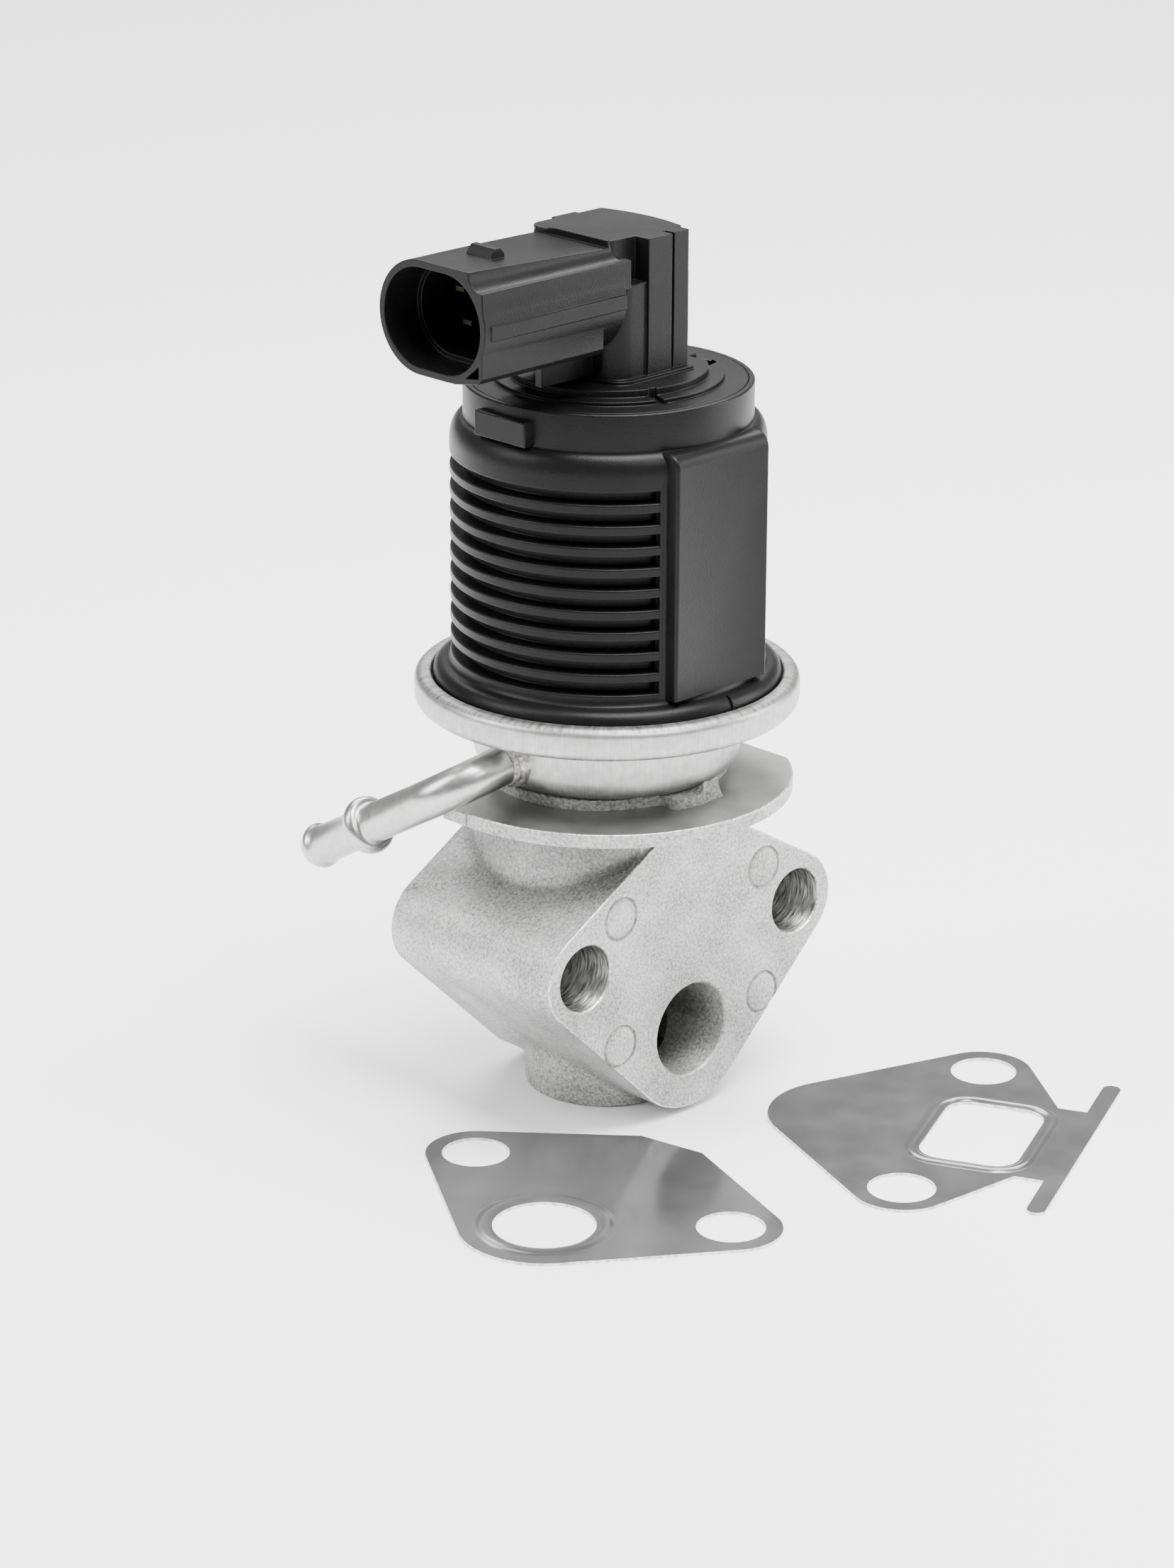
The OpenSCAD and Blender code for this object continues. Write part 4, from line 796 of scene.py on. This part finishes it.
def kite_points(steps=24):
    bolt, tip = Vector((BOLTS_X[1], 0)), Vector((0, PORT_Z - BOLT_Z))
    apex = Vector((4.8, 16.75))

    def tangent(a, ra, b, rb):
        across = b - a
        return math.atan2(across.y, across.x) - math.acos((ra - rb) / across.length)

    low, high = tangent(tip, CHIN_R, bolt, EAR_R), tangent(bolt, EAR_R, apex, 0.0)
    points = [(tip.x + CHIN_R * math.cos(a), tip.y + CHIN_R * math.sin(a))
              for a in [-QUARTER_TURN + (low + QUARTER_TURN) * k / steps for k in range(1, steps + 1)]]
    points += [(bolt.x + EAR_R * math.cos(a), bolt.y + EAR_R * math.sin(a))
               for a in [low + (high - low) * k / steps for k in range(steps + 1)]]
    points.append(tuple(apex))
    return points + [(-x, y) for x, y in reversed(points)] + [(0, tip.y - CHIN_R)]


def bead_ring(loops):
    made = bmesh.new()
    row = [made.verts.new(p) for p in loops[0]]
    rim = [made.edges.new(pair) for pair in zip(row, row[1:] + row[:1])]
    for points in loops[1:] + loops[:1]:
        grown = bmesh.ops.extrude_edge_only(made, edges=rim)["geom"]
        fresh = {v for v in grown if isinstance(v, bmesh.types.BMVert)}
        row = [next(e.other_vert(v) for e in v.link_edges if e.other_vert(v) in fresh) for v in row]
        for v, point in zip(row, points):
            v.co = point
        rim = [e for e in grown if isinstance(e, bmesh.types.BMEdge) and fresh.issuperset(e.verts)]
    bmesh.ops.remove_doubles(made, verts=made.verts, dist=0.0005)
    bmesh.ops.recalc_face_normals(made, faces=made.faces)
    return made


def gasket(name, node, port, bead, middle, turn, extra=()):
    sheet = prism(kite_points(), 0, SHEET_T)
    for part in extra:
        sheet = fitted(sheet, part, "UNION")
    for x in BOLTS_X:
        sheet = fitted(sheet, placed(drum(BOLT_R, -1, 2, 72), Matrix.Translation((x, 0, 0))))
    sheet = fitted(sheet, prism(port(bead[-1][0]), -1, 2))
    top = bead[:-1] + [(bead[-1][0] + 0.2, 0.38)]
    low = [(grow, max(z - SHEET_T, 0.02)) for grow, z in reversed(top)]
    whole = fitted(sheet, bead_ring([[(x, y, z) for x, y in port(grow)] for grow, z in top + low]), "UNION")
    # The upright faces are where the sheet was sheared, and take its second material
    for face in whole.faces:
        if abs(face.normal.z) < 0.3:
            face.material_index = 1
    lie = Matrix.Translation((*middle, 0)) @ Matrix.Rotation(math.radians(turn), 4, "Z")
    finished(name, placed(whole, lie), [coated_sheet, sheared_edge], [node], crease=22)


# Coated gasket sheet: mid grey, satin, faintly clouded, so that it mirrors the casting softly
coated_sheet, tree, shader, place = new_material("coated_gasket_sheet")
cloud = add_node(tree, "ShaderNodeTexNoise", {"Vector": place, "Scale": 160.0, "Detail": 4.0})
surfaced(tree, shader, cloud, (0.3, 0.7), ("#777777", "#828282"))
sheen = add_node(tree, "ShaderNodeMapRange", {0: cloud.outputs[0], 1: 0.3, 2: 0.7, 3: 0.15, 4: 0.21})
shader.inputs["Metallic"].default_value = 0.8
tree.links.new(sheen.outputs[0], shader.inputs["Roughness"])

# Sheared edge: the bare steel where the die cut through the coat, torn every 0.7 mm or so
sheared_edge, tree, shader, place = new_material("sheared_edge")
tears = add_node(tree, "ShaderNodeTexNoise", {"Vector": place, "Scale": 1500.0, "Detail": 2.0})
surfaced(tree, shader, tears, (0.35, 0.65), ("#b0b0b0", "#ececec"))
shader.inputs["Metallic"].default_value = 1.0
shader.inputs["Roughness"].default_value = 0.35


def round_port(grow):
    r = 6.7 + grow
    angles = [2 * math.pi * k / 96 for k in range(96)]
    return [(r * math.cos(a), PORT_Z - BOLT_Z + r * math.sin(a)) for a in angles]


# Each corner of the square port is 11 points, and 11 more divide the straight side that follows it
def square_port(grow):
    w, h = 9.5 + grow, 6.8 + grow
    corners = [(-w, 5.3 - h), (w, 5.3 - h), (w, 5.3 + h), (-w, 5.3 + h)]
    path = rounded([(x, y, 3.3 + grow) for x, y in corners], 10, True)
    sides = []
    for i, point in enumerate(path):
        sides.append(point)
        if i % 11 == 10:
            ahead = path[(i + 1) % len(path)]
            sides += [(point[0] + (ahead[0] - point[0]) * k / 12, point[1] + (ahead[1] - point[1]) * k / 12)
                      for k in range(1, 12)]
    return sides


# A bead is listed from the port outwards: how far it stands from the port's edge, and how high
soft_bead = [(0, 0.4), (0.3, 0.5), (0.7, 0.64), (1.1, 0.68), (1.5, 0.64), (1.9, 0.52), (2.3, 0.42),
             (2.6, 0.4)]
gasket("loose_front_gasket", "gasket_front", round_port, soft_bead, (-26.7, -26.3), -78.6)
bar_corners = [(-21.3, 16.8, 1.2), (21.3, 16.8, 1.2), (21.3, 19.3, 1.2), (-21.3, 19.3, 1.2)]
bar = prism(rounded(bar_corners, 6, True), 0, SHEET_T)
neck_sheet = prism([(-11.5, 2), (11.5, 2), (11.5, 17.2), (-11.5, 17.2)], 0, SHEET_T)
narrow_bead = [(0, 0.4), (0.3, 0.42), (0.6, 0.58), (0.95, 0.68), (1.3, 0.68), (1.65, 0.58), (1.95, 0.42),
               (2.2, 0.4)]
gasket("loose_rear_gasket", "gasket_rear", square_port, narrow_bead, (19.7, -44.6), 205.6, [neck_sheet, bar])
